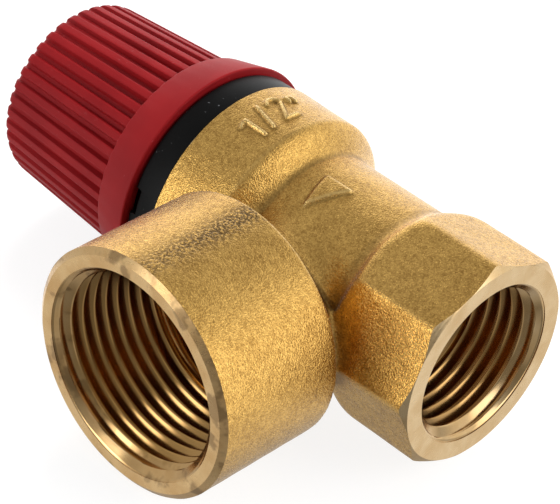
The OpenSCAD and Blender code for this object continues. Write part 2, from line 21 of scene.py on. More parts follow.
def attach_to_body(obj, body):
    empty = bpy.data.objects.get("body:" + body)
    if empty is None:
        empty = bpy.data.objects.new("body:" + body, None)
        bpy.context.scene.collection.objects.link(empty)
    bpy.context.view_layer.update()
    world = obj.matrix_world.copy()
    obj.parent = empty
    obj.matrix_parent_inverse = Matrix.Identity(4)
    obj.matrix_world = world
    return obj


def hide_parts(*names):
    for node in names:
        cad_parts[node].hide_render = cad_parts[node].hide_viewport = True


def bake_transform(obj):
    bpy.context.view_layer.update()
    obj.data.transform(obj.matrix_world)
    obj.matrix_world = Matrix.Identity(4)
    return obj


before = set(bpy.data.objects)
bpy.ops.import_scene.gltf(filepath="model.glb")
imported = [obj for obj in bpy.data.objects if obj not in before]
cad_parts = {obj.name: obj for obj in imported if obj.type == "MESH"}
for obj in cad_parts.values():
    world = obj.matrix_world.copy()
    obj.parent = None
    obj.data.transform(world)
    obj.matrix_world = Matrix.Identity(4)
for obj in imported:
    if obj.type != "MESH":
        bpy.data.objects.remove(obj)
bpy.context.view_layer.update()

log = logging.getLogger("relief_valve")

MM = 0.001
FULL_TURN = 2.0 * math.pi
INLET_FACE_X = 1.8
OUTLET_HEIGHT = 24.25
OUTLET_X = INLET_FACE_X - OUTLET_HEIGHT

# Greatest share of an outline's side that the rounding of one corner takes
MOST_ROUNDED = 0.49
# Least squared slope of a field that a step is divided by
LEAST_SLOPE = 1e-6
# Radius of the chamber over the seat, and of the passage from it to the outlet
CHAMBER_R = 9.6
PASSAGE_R = 5.5
# How far, across and along, the edge of a turned bore runs on under the forged skin
TUCK_R = 0.3
TUCK = 0.4

# Red, green and blue
Colour = tuple[float, float, float]
# A place in the frame, and one on a flat drawing
Place = tuple[float, float, float]
FlatPlace = tuple[float, float]
# Where an easing starts and where it ends
Span = tuple[float, float]
# Gives each point's distance from a shape, below nought inside
Field = Callable[[np.ndarray], np.ndarray]


class Axis(Enum):
    """The two axes that the valve is turned about."""

    MAIN = "main"
    OUTLET = "outlet"

    def place(self, radius: np.ndarray, angle: np.ndarray, height: np.ndarray) -> np.ndarray:
        """Places points: the radius times the angle's cosine and sine across the axis, the height along it.

        Args:
            radius: Distance from the axis, in millimetres.
            angle: Angle about the axis, in radians.
            height: Distance along the axis, in millimetres.

        Returns:
            Points with one more dimension, of size three.
        """
        radius, angle, height = np.broadcast_arrays(radius, angle, height)
        across = radius * np.cos(angle)
        aside = radius * np.sin(angle)
        if self is Axis.MAIN:
            return np.stack((INLET_FACE_X - height, aside, across), axis=-1)
        return np.stack((OUTLET_X + across, -height, aside), axis=-1)


class Detail(Enum):
    """How many finer layers a cloudy noise has."""

    SOFT = 2.0
    FINE = 3.0
    RICH = 4.0


class Corner(NamedTuple):
    """One corner of a turned outline: its place, its rounding's reach and its share of a groove."""

    radius: float
    height: float
    ease: float = 0.0
    grooved: float = 0.0


@dataclass
class Surface:
    """Points in millimetres and the faces between them, three or four corners each."""

    points: np.ndarray
    faces: np.ndarray
    marks: dict[str, np.ndarray] = field(default_factory=dict)

    def joined(self, *others: "Surface") -> "Surface":
        """Puts this surface and others with as many corners to a face into one.

        Args:
            others: The other surfaces.

        Returns:
            One surface of all points and faces, without marks.
        """
        parts = (self, *others)
        starts = np.cumsum([0] + [len(part.points) for part in parts])
        faces = [part.faces + start for part, start in zip(parts, starts)]
        return Surface(np.concatenate([part.points for part in parts]), np.concatenate(faces))


def rounded_outline(corners: Sequence[Corner], closed: bool, steps: int = 5) -> np.ndarray:
    """Rounds an outline: each corner becomes a parabola between points `ease` away on its two sides.

    Args:
        corners: The corners in order.
        closed: Whether the last corner runs back to the first.
        steps: Stretches in each rounding.

    Returns:
        Rows of radius, height and share of a groove's depth.
    """
    table = np.array([(c.radius, c.height, c.grooved) for c in corners])
    share = np.linspace(0.0, 1.0, steps + 1)[:, None]
    rows = []
    for index, corner in enumerate(corners):
        inner = closed or 0 < index < len(corners) - 1
        here = table[index]
        if corner.ease == 0.0 or not inner:
            rows.append(here[None, :])
            continue
        before = table[index - 1] - here
        after = table[(index + 1) % len(corners)] - here
        reach_before = before * min(MOST_ROUNDED, corner.ease / np.linalg.norm(before[:2]))
        reach_after = after * min(MOST_ROUNDED, corner.ease / np.linalg.norm(after[:2]))
        rows.append(here + reach_before * (1.0 - share) ** 2 + reach_after * share**2)
    return np.concatenate(rows)


def grid_faces(rows: int, columns: int, close_rows: bool) -> np.ndarray:
    """Faces of a grid whose columns close round, and whose rows may.

    Args:
        rows: Number of rows.
        columns: Number of columns.
        close_rows: Whether the last row runs back to the first.

    Returns:
        Four point numbers for each face.
    """
    low = np.arange(rows if close_rows else rows - 1)[:, None]
    near = np.arange(columns)[None, :]
    high = (low + 1) % rows
    far = (near + 1) % columns
    corners = (low * columns + near, low * columns + far, high * columns + far, high * columns + near)
    return np.stack(np.broadcast_arrays(*corners), axis=-1).reshape(-1, 4)


def angles_round(columns: int) -> np.ndarray:
    """Evenly spaced angles of one whole turn, as a single row."""
    return (np.arange(columns) * FULL_TURN / columns)[None, :]


def turned(axis: Axis, radius: np.ndarray, height: np.ndarray, columns: int, closed: bool) -> Surface:
    """Carries an outline round an axis: each of its points goes to every column's angle in turn.

    Args:
        axis: The axis to turn about.
        radius: One row for each outline point, with one column or one for each angle.
        height: The same for the heights.
        columns: Number of angles in a turn.
        closed: Whether the outline closes on itself.

    Returns:
        The surface, whose outside is on the right of an outline that runs upwards.
    """
    points = axis.place(radius, angles_round(columns), height)
    return Surface(points.reshape(-1, 3), grid_faces(points.shape[0], columns, closed))


def lathe(corners: Sequence[Corner], columns: int = 160) -> Surface:
    """Turns a closed outline about the main axis."""
    outline = rounded_outline(corners, closed=True)
    return turned(Axis.MAIN, outline[:, :1], outline[:, 1:2], columns, closed=True)


def halved(faces: np.ndarray) -> np.ndarray:
    """Splits four-cornered faces in two, from their first corner to their third."""
    return np.concatenate((faces[:, (0, 1, 2)], faces[:, (0, 2, 3)]))


def as_triangles(surface: Surface) -> Surface:
    """Splits a surface's four-cornered faces in two."""
    return Surface(surface.points, halved(surface.faces))


def capped_tube(rings: np.ndarray) -> Surface:
    """Skins a row of rings and closes both ends with a fan about each end ring's middle.

    Args:
        rings: Points by ring and by place on the ring.

    Returns:
        The closed surface, of triangles.
    """
    count, sides = rings.shape[:2]
    skin = halved(grid_faces(count, sides, close_rows=False))
    middles = rings[(0, -1), :].mean(axis=1)
    here = np.arange(sides)
    after = (here + 1) % sides
    first = count * sides
    last = (count - 1) * sides
    start = np.stack((np.full(sides, first), after, here), axis=-1)
    end = np.stack((np.full(sides, first + 1), last + here, last + after), axis=-1)
    points = np.concatenate((rings.reshape(-1, 3), middles))
    return Surface(points, np.concatenate((skin, start, end)))


def smooth_union(one: np.ndarray, other: np.ndarray, blend: float) -> np.ndarray:
    """Lesser of two distances, with a fillet where they differ by less than `blend`."""
    closeness = np.maximum(blend - np.abs(one - other), 0.0) / blend
    return np.minimum(one, other) - closeness**2 * blend / 4.0


def smooth_common(one: np.ndarray, other: np.ndarray, blend: float) -> np.ndarray:
    """Greater of two distances, with a rounded edge where they differ by less than `blend`."""
    return -smooth_union(-one, -other, blend)


def smooth_step(share: np.ndarray) -> np.ndarray:
    """Eases a share from nought to one: its square times three less twice itself."""
    return share**2 * (3.0 - 2.0 * share)


def gradient(shape: Field, points: np.ndarray, step: float = 0.02) -> np.ndarray:
    """Slope of a field at points: difference of the field a step either way along each axis."""
    slopes = [(shape(points + step * side) - shape(points - step * side)) for side in np.eye(3)]
    return np.stack(slopes, axis=-1) / (2.0 * step)


def settled(shape: Field, points: np.ndarray, rounds: int = 3) -> np.ndarray:
    """Moves points down a field's slope: a step is the slope times the field over the slope squared.

    Args:
        shape: The field.
        points: The points to move.
        rounds: Number of steps.

    Returns:
        Points where the field is about nought.
    """
    for _ in range(rounds):
        slope = gradient(shape, points)
        share = shape(points) / np.maximum((slope**2).sum(axis=-1), LEAST_SLOPE)
        points = points - np.clip(share, -1.0, 1.0)[:, None] * slope
    return points


def surface_net(shape: Field, low: np.ndarray, high: np.ndarray, step: float) -> Surface:
    """Skins the place where a field is nought: a point in each cell it crosses, a face over each edge.

    Args:
        shape: The field, negative inside.
        low: Lowest corner of the block that is searched.
        high: Highest corner of that block.
        step: Size of a cell.

    Returns:
        The surface, with its points settled on the field and spread evenly.
    """
    counts = np.ceil((high - low) / step).astype(int) + 1
    lines = [low[axis] + step * np.arange(counts[axis]) for axis in range(3)]
    inside = shape(np.stack(np.meshgrid(*lines, indexing="ij"), axis=-1)) < 0.0
    corner_sum = np.zeros(counts - 1, dtype=int)
    shifts = tuple(itertools.product((0, 1), repeat=3))
    for shift in shifts:
        corner_sum += inside[tuple(slice(s, s + n - 1) for s, n in zip(shift, counts))]
    crossed = (corner_sum > 0) & (corner_sum < len(shifts))
    number = np.full(crossed.shape, -1)
    number[crossed] = np.arange(crossed.sum())
    points = low + step * (np.argwhere(crossed) + 0.5)
    faces = np.concatenate([net_faces(inside, number, axis) for axis in range(3)])
    points = settled(shape, points)
    return evened(Surface(points, faces), shape)


def net_faces(inside: np.ndarray, number: np.ndarray, axis: int) -> np.ndarray:
    """Faces over the grid edges along one axis whose two ends lie on different sides.

    Args:
        inside: Which grid points lie inside.
        number: Number of the point in each cell.
        axis: The axis that the edges run along.

    Returns:
        Four point numbers for each face, turned so that it faces outwards.
    """
    length = inside.shape[axis]
    starts_inside = np.take(inside, range(length - 1), axis=axis)
    ends_inside = np.take(inside, range(1, length), axis=axis)
    edges = np.argwhere(starts_inside != ends_inside)
    across = [other for other in range(3) if other != axis]
    has_cells = (edges[:, across] > 0) & (edges[:, across] < np.array(number.shape)[across])
    edges = edges[has_cells.all(axis=1)]
    leaving = starts_inside[tuple(edges.T)]
    side, up = np.roll(np.eye(3, dtype=int), -axis - 1, axis=0)[:2]
    ring = (side + up, up, np.zeros(3, dtype=int), side)
    corners = np.stack([number[tuple((edges - shift).T)] for shift in ring], axis=-1)
    return np.where(leaving[:, None], corners, corners[:, ::-1])


def evened(surface: Surface, shape: Field, rounds: int = 3) -> Surface:
    """Spreads points evenly: each moves to the mean of its neighbours and settles on the field again.

    Args:
        surface: The surface to even out.
        shape: The field that it lies on.
        rounds: Number of times.

    Returns:
        The surface with its points moved.
    """
    starts = surface.faces.ravel()
    ends = np.roll(surface.faces, -1, axis=1).ravel()
    count = len(surface.points)
    degree = np.bincount(starts, minlength=count)[:, None]
    points = surface.points
    for _ in range(rounds):
        sums = [np.bincount(starts, weights=points[ends, axis], minlength=count) for axis in range(3)]
        mean = np.stack(sums, axis=-1) / np.maximum(degree, 1)
        points = settled(shape, mean, rounds=2)
    return Surface(points, surface.faces)


def trimmed(surface: Surface, shape: Field, keep: Field, rounds: int = 6) -> Surface:
    """Cuts a surface where `keep` falls below nought and moves the cut's edge onto both fields.

    Args:
        surface: The surface to cut.
        shape: The field that the surface lies on.
        keep: Positive where the surface stays.
        rounds: Steps that bring the edge onto both fields.

    Returns:
        What stays.
    """
    stays = keep(surface.points)[surface.faces].mean(axis=1) > 0.0
    kept = np.unique(surface.faces[stays])
    dropped = np.unique(surface.faces[~stays])
    edge = np.intersect1d(kept, dropped)
    points = surface.points.copy()
    for _ in range(rounds):
        points[edge] = settled(keep, points[edge], rounds=1)
        points[edge] = settled(shape, points[edge], rounds=1)
    number = np.full(len(points), -1)
    number[kept] = np.arange(len(kept))
    return Surface(points[kept], number[surface.faces[stays]])


class Wire:
    """One shader socket: arithmetic on wires and numbers adds Math nodes."""

    def __init__(self, bench: "Bench", socket: bpy.types.NodeSocket | None) -> None:
        """Keeps the bench that adds nodes and the socket that the wire leaves."""
        self.bench = bench
        self.socket = socket

    def maths(self, operation: str, *others: Any) -> "Wire":
        """Adds one Math node with this wire as its first value."""
        sockets = dict(enumerate((self, *others)))
        return self.bench.add("ShaderNodeMath", {"operation": operation}, sockets)

    def __add__(self, other: Any) -> "Wire":
        """Sum."""
        return self.maths("ADD", other)

    def __radd__(self, other: Any) -> "Wire":
        """Sum with a number in front."""
        return self.maths("ADD", other)

    def __sub__(self, other: Any) -> "Wire":
        """Difference."""
        return self.maths("SUBTRACT", other)

    def __rsub__(self, other: Any) -> "Wire":
        """Difference from a number in front."""
        return (self * -1.0) + other

    def __mul__(self, other: Any) -> "Wire":
        """Product."""
        return self.maths("MULTIPLY", other)

    def __rmul__(self, other: Any) -> "Wire":
        """Product with a number in front."""
        return self.maths("MULTIPLY", other)

    def __truediv__(self, other: Any) -> "Wire":
        """Quotient."""
        return self.maths("DIVIDE", other)

    def __rtruediv__(self, other: Any) -> "Wire":
        """Quotient of a number in front."""
        return self.maths("POWER", -1.0) * other

    def eased(self, low: float, high: float) -> "Wire":
        """Runs smoothly from nought at `low` to one at `high`."""
        settings = {"interpolation_type": "SMOOTHSTEP"}
        return self.bench.add("ShaderNodeMapRange", settings, {0: self, 1: low, 2: high})


class Bench:
    """A shader tree being wired up."""

    def __init__(self, tree: bpy.types.NodeTree) -> None:
        """Starts with an empty tree."""
        self.tree = tree
        tree.nodes.clear()

    def add(
        self, kind: str, settings: dict[str, Any], sockets: dict[Any, Any], output: int | str = 0
    ) -> Wire:
        """Adds a node.

        Args:
            kind: The node's type.
            settings: The node's own settings, set before its sockets.
            sockets: Values or wires by the input's name or number.
            output: Which output the wire leaves.

        Returns:
            The wire from that output, or one without a socket where the node has no outputs.
        """
        node = self.tree.nodes.new(kind)
        for name, value in settings.items():
            setattr(node, name, value)
        for key, value in sockets.items():
            if isinstance(value, Wire):
                self.tree.links.new(value.socket, node.inputs[key])
            else:
                node.inputs[key].default_value = value
        socket = node.outputs[output] if node.outputs else None
        return Wire(self, socket)

    def place(self) -> Wire:
        """Object coordinates, in millimetres."""
        metres = self.add("ShaderNodeTexCoord", {}, {}, "Object")
        return self.add("ShaderNodeVectorMath", {"operation": "SCALE"}, {0: metres, "Scale": 1.0 / MM})

    def mark(self, name: str) -> Wire:
        """A value that the mesh carries at its points."""
        return self.add("ShaderNodeAttribute", {"attribute_name": name}, {}, "Fac")

    def split(self, vector: Wire) -> tuple[Wire, Wire, Wire]:
        """Takes a vector apart.

        Args:
            vector: The vector.

        Returns:
            Its three numbers.
        """
        first = self.add("ShaderNodeSeparateXYZ", {}, {0: vector})
        outputs = first.socket.node.outputs
        return first, Wire(self, outputs[1]), Wire(self, outputs[2])

    def noise(self, vector: Wire, grain_mm: float, detail: Detail = Detail.SOFT) -> Wire:
        """Cloudy noise whose blobs are about `grain_mm` across, from nought to one."""
        sockets = {"Vector": vector, "Scale": 1.0 / grain_mm, "Detail": detail.value}
        return self.add("ShaderNodeTexNoise", {}, sockets, "Fac")

    def cells(self, vector: Wire, grain_mm: float) -> Wire:
        """A chance value from nought to one for each of many cells about `grain_mm` across."""
        sockets = {"Vector": vector, "Scale": 1.0 / grain_mm}
        return self.split(self.add("ShaderNodeTexVoronoi", {}, sockets, "Color"))[0]

    def tint(self, share: Wire, one: Any, other: Any) -> Wire:
        """Mixes two colours, by the Mix node's sockets for colours, which come after those for numbers.

        Args:
            share: Share of the second colour.
            one: The first colour.
            other: The second colour.

        Returns:
            The mixed colour.
        """
        factor, first, second, result = 0, 6, 7, 2
        sockets = {factor: share, first: one, second: other}
        return self.add("ShaderNodeMix", {"data_type": "RGBA"}, sockets, result)

    def bump(self, height: Wire, strength: float, depth_mm: float) -> Wire:
        """Normal of a surface that rises and falls by about `depth_mm`."""
        sockets = {"Strength": strength, "Distance": depth_mm * MM, "Height": height}
        return self.add("ShaderNodeBump", {}, sockets)

    def surface(self, sockets: dict[Any, Any]) -> None:
        """Ends the tree with a Principled shader of these sockets."""
        shader = self.add("ShaderNodeBsdfPrincipled", {}, sockets)
        self.add("ShaderNodeOutputMaterial", {}, {"Surface": shader})


def solid(colour: Colour) -> tuple[float, float, float, float]:
    """A colour with full cover."""
    return (*colour, 1.0)


@dataclass(frozen=True)
class Finish:
    """What a surface is made of. Each kind of finish wires its own shader."""

    name: str

    def wire(self, bench: Bench) -> None:
        """Wires the shader on the bench."""
        raise NotImplementedError

    def material(self) -> bpy.types.Material:
        """Makes the finish's material, or finds it if it is made already.

        Returns:
            The material.
        """
        label = f"finish_{self.name}"
        made = bpy.data.materials.get(label)
        if made is None:
            made = bpy.data.materials.new(label)
            made.use_nodes = True
            self.wire(Bench(made.node_tree))
        return made


@dataclass(frozen=True)
class ForgedBrass(Finish):
    """Hot-forged, grit-blasted brass: sparkling grain, painted shade in its hollows, a pitted streak on the
    boss.
    """

    gold: Colour = (1.0, 0.61, 0.17)
    dull: Colour = (0.41, 0.215, 0.048)
    # Dark brown of the pitted streak, also used as painted shade in hollows
    scale_and_shade: Colour = (0.10, 0.056, 0.022)
    worn: Colour = (1.0, 0.69, 0.27)
    sheen_tint: Colour = (1.0, 0.94, 0.88)
    sheen: float = 0.18
    sheen_roughness: float = 0.29
    grain_mm: float = 0.2
    grain_depth_mm: float = 0.085
    facet_mm: float = 0.15
    facet_share: float = 0.60
    mottle_mm: float = 0.7
    mottle_span: Span = (0.35, 0.65)
    mottle_share: float = 0.24
    blotch_mm: float = 5.0
    blotch_span: Span = (0.3, 0.7)
    blotch_share: float = 0.16
    pit_mm: float = 0.34
    pit_span: Span = (0.40, 0.56)
    # Painted shade in hollows: its strength, and its share that follows the pit noise
    hollow_shade: float = 0.55
    hollow_shade_pits: float = 0.5
    streak_dirt: float = 0.9
    streak_sink: float = 0.6
    most_shade_and_dirt: float = 0.84
    roughness: float = 0.19
    pit_roughness: float = 0.14
    shade_and_dirt_roughness: float = 0.2
    worn_polish: float = 0.1

    def wire(self, bench: Bench) -> None:
        """Grain bump over blotches of two tones, with painted shade where the surface is hollow and darker
        where it is pitted.

        Args:
            bench: The shader tree.
        """
        place = bench.place()
        grain = bench.noise(place, self.grain_mm)
        facets = bench.cells(place, self.facet_mm)
        pits = bench.noise(place, self.pit_mm, Detail.FINE)
        mottle = bench.noise(place, self.mottle_mm, Detail.RICH).eased(*self.mottle_span)
        blotch = bench.noise(place, self.blotch_mm, Detail.FINE).eased(*self.blotch_span)
        hollow = bench.mark("hollow")
        streak = bench.mark("streak") * pits.eased(*self.pit_span)
        tone = blotch * self.blotch_share + mottle * self.mottle_share + facets * self.facet_share
        colour = bench.tint(tone, solid(self.dull), solid(self.gold))
        worn = bench.mark("worn")
        colour = bench.tint(worn, colour, solid(self.worn))
        # Painted shade in hollows, plus the real pitting along the streak
        shade_and_dirt = hollow * (self.hollow_shade + self.hollow_shade_pits * pits) + streak * self.streak_dirt
        shade_and_dirt = shade_and_dirt.maths("MINIMUM", self.most_shade_and_dirt)
        rough = self.roughness + self.pit_roughness * pits
        height = grain - streak * self.streak_sink
        bench.surface(
            {
                "Base Color": bench.tint(shade_and_dirt, colour, solid(self.scale_and_shade)),
                "Metallic": 1.0,
                "Roughness": rough + self.shade_and_dirt_roughness * shade_and_dirt - self.worn_polish * worn,
                "Sheen Weight": self.sheen,
                "Sheen Roughness": self.sheen_roughness,
                "Sheen Tint": solid(self.sheen_tint),
                "Normal": bench.bump(height, 1.0, self.grain_depth_mm),
            }
        )


@dataclass(frozen=True)
class TurnedBrass(Finish):
    """Brass fresh from the lathe, with fine tool lines round its axis, and painted shade that darkens it
    deep in a bore.
    """

    axis: Axis = Axis.MAIN
    bright: Colour = (0.82, 0.60, 0.33)
    warm: Colour = (0.70, 0.47, 0.22)
    # Colour deep in a bore: painted shade of the recess
    bore: Colour = (0.52, 0.305, 0.112)
    stain: Colour = (0.22, 0.125, 0.055)
    tone_mm: float = 3.5
    tone_span: Span = (0.3, 0.7)
    stain_mm: float = 3.2
    stain_span: Span = (0.53, 0.63)
    stain_share: float = 0.0
    roughness: float = 0.22
    uneven_mm: float = 0.5
    uneven_roughness: float = 0.14
    bore_roughness: float = 0.17
    smooth_gain: float = 4.0
    line_mm: float = 0.16
    line_slope: float = 0.83
    line_depth_mm: float = 0.006
    line_strength: float = 0.5
    line_loss: float = 0.8
    wander_mm: float = 1.6
    wander_turn: float = 5.0

    def wire(self, bench: Bench) -> None:
        """Sine lines on radius plus height over slow tones and stains, with painted shade and a smoother
        surface in a bore.

        Args:
            bench: The shader tree.
        """
        place = bench.place()
        along, back, up = bench.split(place)
        if self.axis is Axis.OUTLET:
            along, back = back, along - OUTLET_X
        radius = (back * back + up * up).maths("SQRT")
        wander = bench.noise(place, self.wander_mm) * self.wander_turn
        turn = (radius + along * self.line_slope) * (FULL_TURN / self.line_mm) + wander
        lines = turn.maths("SINE")
        tone = bench.noise(place, self.tone_mm, Detail.FINE)
        bored = bench.mark("bored")
        face = bench.tint(tone.eased(*self.tone_span), solid(self.warm), solid(self.bright))
        patch = bench.noise(place, self.stain_mm, Detail.FINE).eased(*self.stain_span)
        face = bench.tint(patch * self.stain_share, face, solid(self.stain))
        # The bored mark lays painted shade and a smoother surface deeper in the bore
        smooth = (bored * self.smooth_gain).maths("MINIMUM", 1.0)
        rough = self.roughness + self.uneven_roughness * bench.noise(place, self.uneven_mm)
        lines = lines * (1.0 - self.line_loss * smooth)
        bench.surface(
            {
                "Base Color": bench.tint(bored, face, solid(self.bore)),
                "Metallic": 1.0,
                "Roughness": rough * (1.0 - smooth) + self.bore_roughness * smooth,
                "Normal": bench.bump(lines, self.line_strength, self.line_depth_mm),
            }
        )


@dataclass(frozen=True)
class MouldedPlastic(Finish):
    """Moulded plastic with a faint skin texture, slow changes of tone and a little dust."""

    colour: Colour = (0.245, 0.0085, 0.0105)
    shade: Colour = (0.21, 0.007, 0.009)
    tone_mm: float = 6.0
    tone_span: Span = (0.3, 0.7)
    dust_colour: Colour = (0.6, 0.3, 0.3)
    dust_mm: float = 0.55
    dust_span: Span = (0.70, 0.78)
    dust_share: float = 0.1
    dust_roughness: float = 0.2
    gloss: float = 0.1
    roughness: float = 0.42
    skin_roughness: float = 0.12
    skin_mm: float = 0.22
    skin_depth_mm: float = 0.008
    skin_strength: float = 0.45

    def wire(self, bench: Bench) -> None:
        """Two tones by slow noise, specks of dust by sparse noise, and a shallow skin bump.

        Args:
            bench: The shader tree.
        """
        place = bench.place()
        tone = bench.noise(place, self.tone_mm, Detail.FINE).eased(*self.tone_span)
        skin = bench.noise(place, self.skin_mm, Detail.FINE)
        dust = bench.noise(place, self.dust_mm).eased(*self.dust_span) * self.dust_share
        colour = bench.tint(tone, solid(self.shade), solid(self.colour))
        rough = self.roughness + self.skin_roughness * skin
        bench.surface(
            {
                "Base Color": bench.tint(dust, colour, solid(self.dust_colour)),
                "Roughness": rough + self.dust_roughness * dust,
                "Specular IOR Level": self.gloss,
                "Normal": bench.bump(skin, self.skin_strength, self.skin_depth_mm),
            }
        )


@dataclass(frozen=True)
class PlatedSteel(Finish):
    """Zinc-plated steel with a fine brushed unevenness."""

    bright: Colour = (0.66, 0.67, 0.69)
    dull: Colour = (0.44, 0.45, 0.46)
    tone_mm: float = 1.8
    tone_span: Span = (0.35, 0.65)
    roughness: float = 0.26
    tone_roughness: float = 0.2
    fine_mm: float = 0.12
    fine_depth_mm: float = 0.006
    fine_strength: float = 0.4

    def wire(self, bench: Bench) -> None:
        """Two greys by noise, with a fine bump.

        Args:
            bench: The shader tree.
        """
        place = bench.place()
        tone = bench.noise(place, self.tone_mm, Detail.RICH)
        fine = bench.noise(place, self.fine_mm)
        grey = bench.tint(tone.eased(*self.tone_span), solid(self.dull), solid(self.bright))
        bench.surface(
            {
                "Base Color": grey,
                "Metallic": 1.0,
                "Roughness": self.roughness + self.tone_roughness * tone,
                "Normal": bench.bump(fine, self.fine_strength, self.fine_depth_mm),
            }
        )


FORGED = ForgedBrass("forged_brass")
TURNED_INLET = TurnedBrass("turned_brass_inlet")
TURNED_OUTLET = TurnedBrass(
    "turned_brass_outlet",
    axis=Axis.OUTLET,
    bright=(0.86, 0.58, 0.275),
    warm=(0.72, 0.445, 0.185),
    stain_share=0.6,
)
RED = MouldedPlastic("red_plastic")
BLACK = MouldedPlastic(
    "black_plastic",
    colour=(0.004, 0.004, 0.004),
    shade=(0.0025, 0.0025, 0.0025),
    dust_colour=(0.35, 0.36, 0.38),
    dust_share=0.25,
    roughness=0.32,
)
WHITE = MouldedPlastic(
    "white_plastic",
    colour=(0.75, 0.74, 0.70),
    shade=(0.66, 0.65, 0.61),
    dust_colour=(0.4, 0.4, 0.38),
)
RUBBER = MouldedPlastic(
    "black_rubber",
    colour=(0.022, 0.022, 0.023),
    shade=(0.014, 0.014, 0.015),
    dust_colour=(0.2, 0.2, 0.2),
    dust_share=0.4,
    roughness=0.62,
    skin_mm=0.4,
    skin_depth_mm=0.02,
)
STEEL = PlatedSteel("plated_steel")


def make_piece(
    name: str, surface: Surface, finish: Finish, crease_deg: float = 32.0
) -> bpy.types.Object:
    """Puts a surface into a mesh object at the origin and dresses it.

    Args:
        name: The piece's name.
        surface: Its points, in millimetres, and faces.
        finish: What it is made of.
        crease_deg: Angle between faces above which their edge stays sharp.

    Returns:
        The object.
    """
    mesh = bpy.data.meshes.new(name)
    mesh.from_pydata((surface.points * MM).tolist(), [], surface.faces.tolist())
    for mark, values in surface.marks.items():
        attribute = mesh.attributes.new(mark, "FLOAT", "POINT")
        attribute.data.foreach_set("value", values.astype(np.float32))
    mesh.shade_smooth()
    mesh.set_sharp_from_angle(angle=math.radians(crease_deg))
    mesh.materials.append(finish.material())
    mesh.update()
    piece = bpy.data.objects.new(name, mesh)
    bpy.context.scene.collection.objects.link(piece)
    log.info("%s: %d points, %d faces", name, len(surface.points), len(surface.faces))
    return piece


@dataclass(frozen=True)
class PipeThread:
    """An internal pipe thread behind a countersunk mouth, counted from the face inwards."""

    major_r: float
    mouth_r: float
    countersink: float
    land: float
    length: float
    pitch: float = 1.814
    depth: float = 1.162
    start_deg: float = 0.0
    # Depth at which the painted shade of the bore is full
    dark_from: float = 3.6
    cone_share: float = 0.25
    step: float = 0.15
    roundness: float = 0.975
    rows_per_turn: int = 24
    tilt_gain: float = 4.0
    turn_digits: int = 6

    @property
    def minor_r(self) -> float:
        """Radius at the crests."""
        return self.major_r - self.depth

    @property
    def end(self) -> float:
        """Depth at which the thread ends."""
        return self.land + self.length

    def depths(self, angle: np.ndarray) -> np.ndarray:
        """Depths of the rows, tilted to run along the helix, with less tilt near the thread's two ends.

        Args:
            angle: Angle of each column, in radians, turning so that the thread is right-handed.

        Returns:
            One depth for each row and column. A row drops by one gap, then the next takes its place.
        """
        gap = self.pitch / self.rows_per_turn
        first = math.ceil(0.5 - self.land / gap)
        last = math.floor(self.length / gap - 0.5)
        level = self.land + gap * np.arange(first, last)[:, None]
        within = np.minimum(level - 2.0 * self.step, self.end - level)
        tilt = np.clip(self.tilt_gain * within / self.pitch, 0.0, 1.0)
        turn = self.rows_per_turn * (angle + math.radians(self.start_deg)) / FULL_TURN
        drop = np.round(turn, self.turn_digits) % 1.0
        rows = (np.zeros_like(angle), level + gap * tilt * drop, np.full_like(angle, self.end))
        return np.concatenate(rows)

    def radius(self, depth: np.ndarray, angle: np.ndarray) -> np.ndarray:
        """Radius of the helix: a rounded triangle wave of depth less angle, opened by step and cone.

        Args:
            depth: Depth below the mouth.
            angle: Angle about the axis, in radians, turning so that the thread is right-handed.

        Returns:
            The radius at each depth and angle.
        """
        phase = FULL_TURN * (depth - self.land) / self.pitch - angle - math.radians(self.start_deg)
        wave = np.arcsin(self.roundness * np.cos(phase)) / math.asin(self.roundness)
        run_out = np.clip((self.end - depth) / self.pitch, 0.0, 1.0)
        thread = self.minor_r + self.depth * (0.5 + 0.5 * wave) * run_out
        spread = (self.mouth_r - self.minor_r) / self.countersink
        opened = np.maximum(thread, self.mouth_r - depth * spread)
        return np.where(depth < self.step, self.mouth_r, opened)

    def bored(self, depth: np.ndarray, reach: np.ndarray) -> np.ndarray:
        """How deep points lie in the bore, which sets its painted shade: nought round the mouth, a share on
        its cone, then rising.

        Args:
            depth: Depth of the points below the mouth.
            reach: Their distance from the axis.

        Returns:
            Values from nought to one, which is reached at the depth `dark_from`.
        """
        cone = np.clip(depth / self.step, 0.0, 1.0)
        deep = np.clip((depth - self.countersink) / (self.dark_from - self.countersink), 0.0, 1.0)
        share = self.cone_share * cone + (1.0 - self.cone_share) * deep
        return share * (reach < self.mouth_r + self.step)


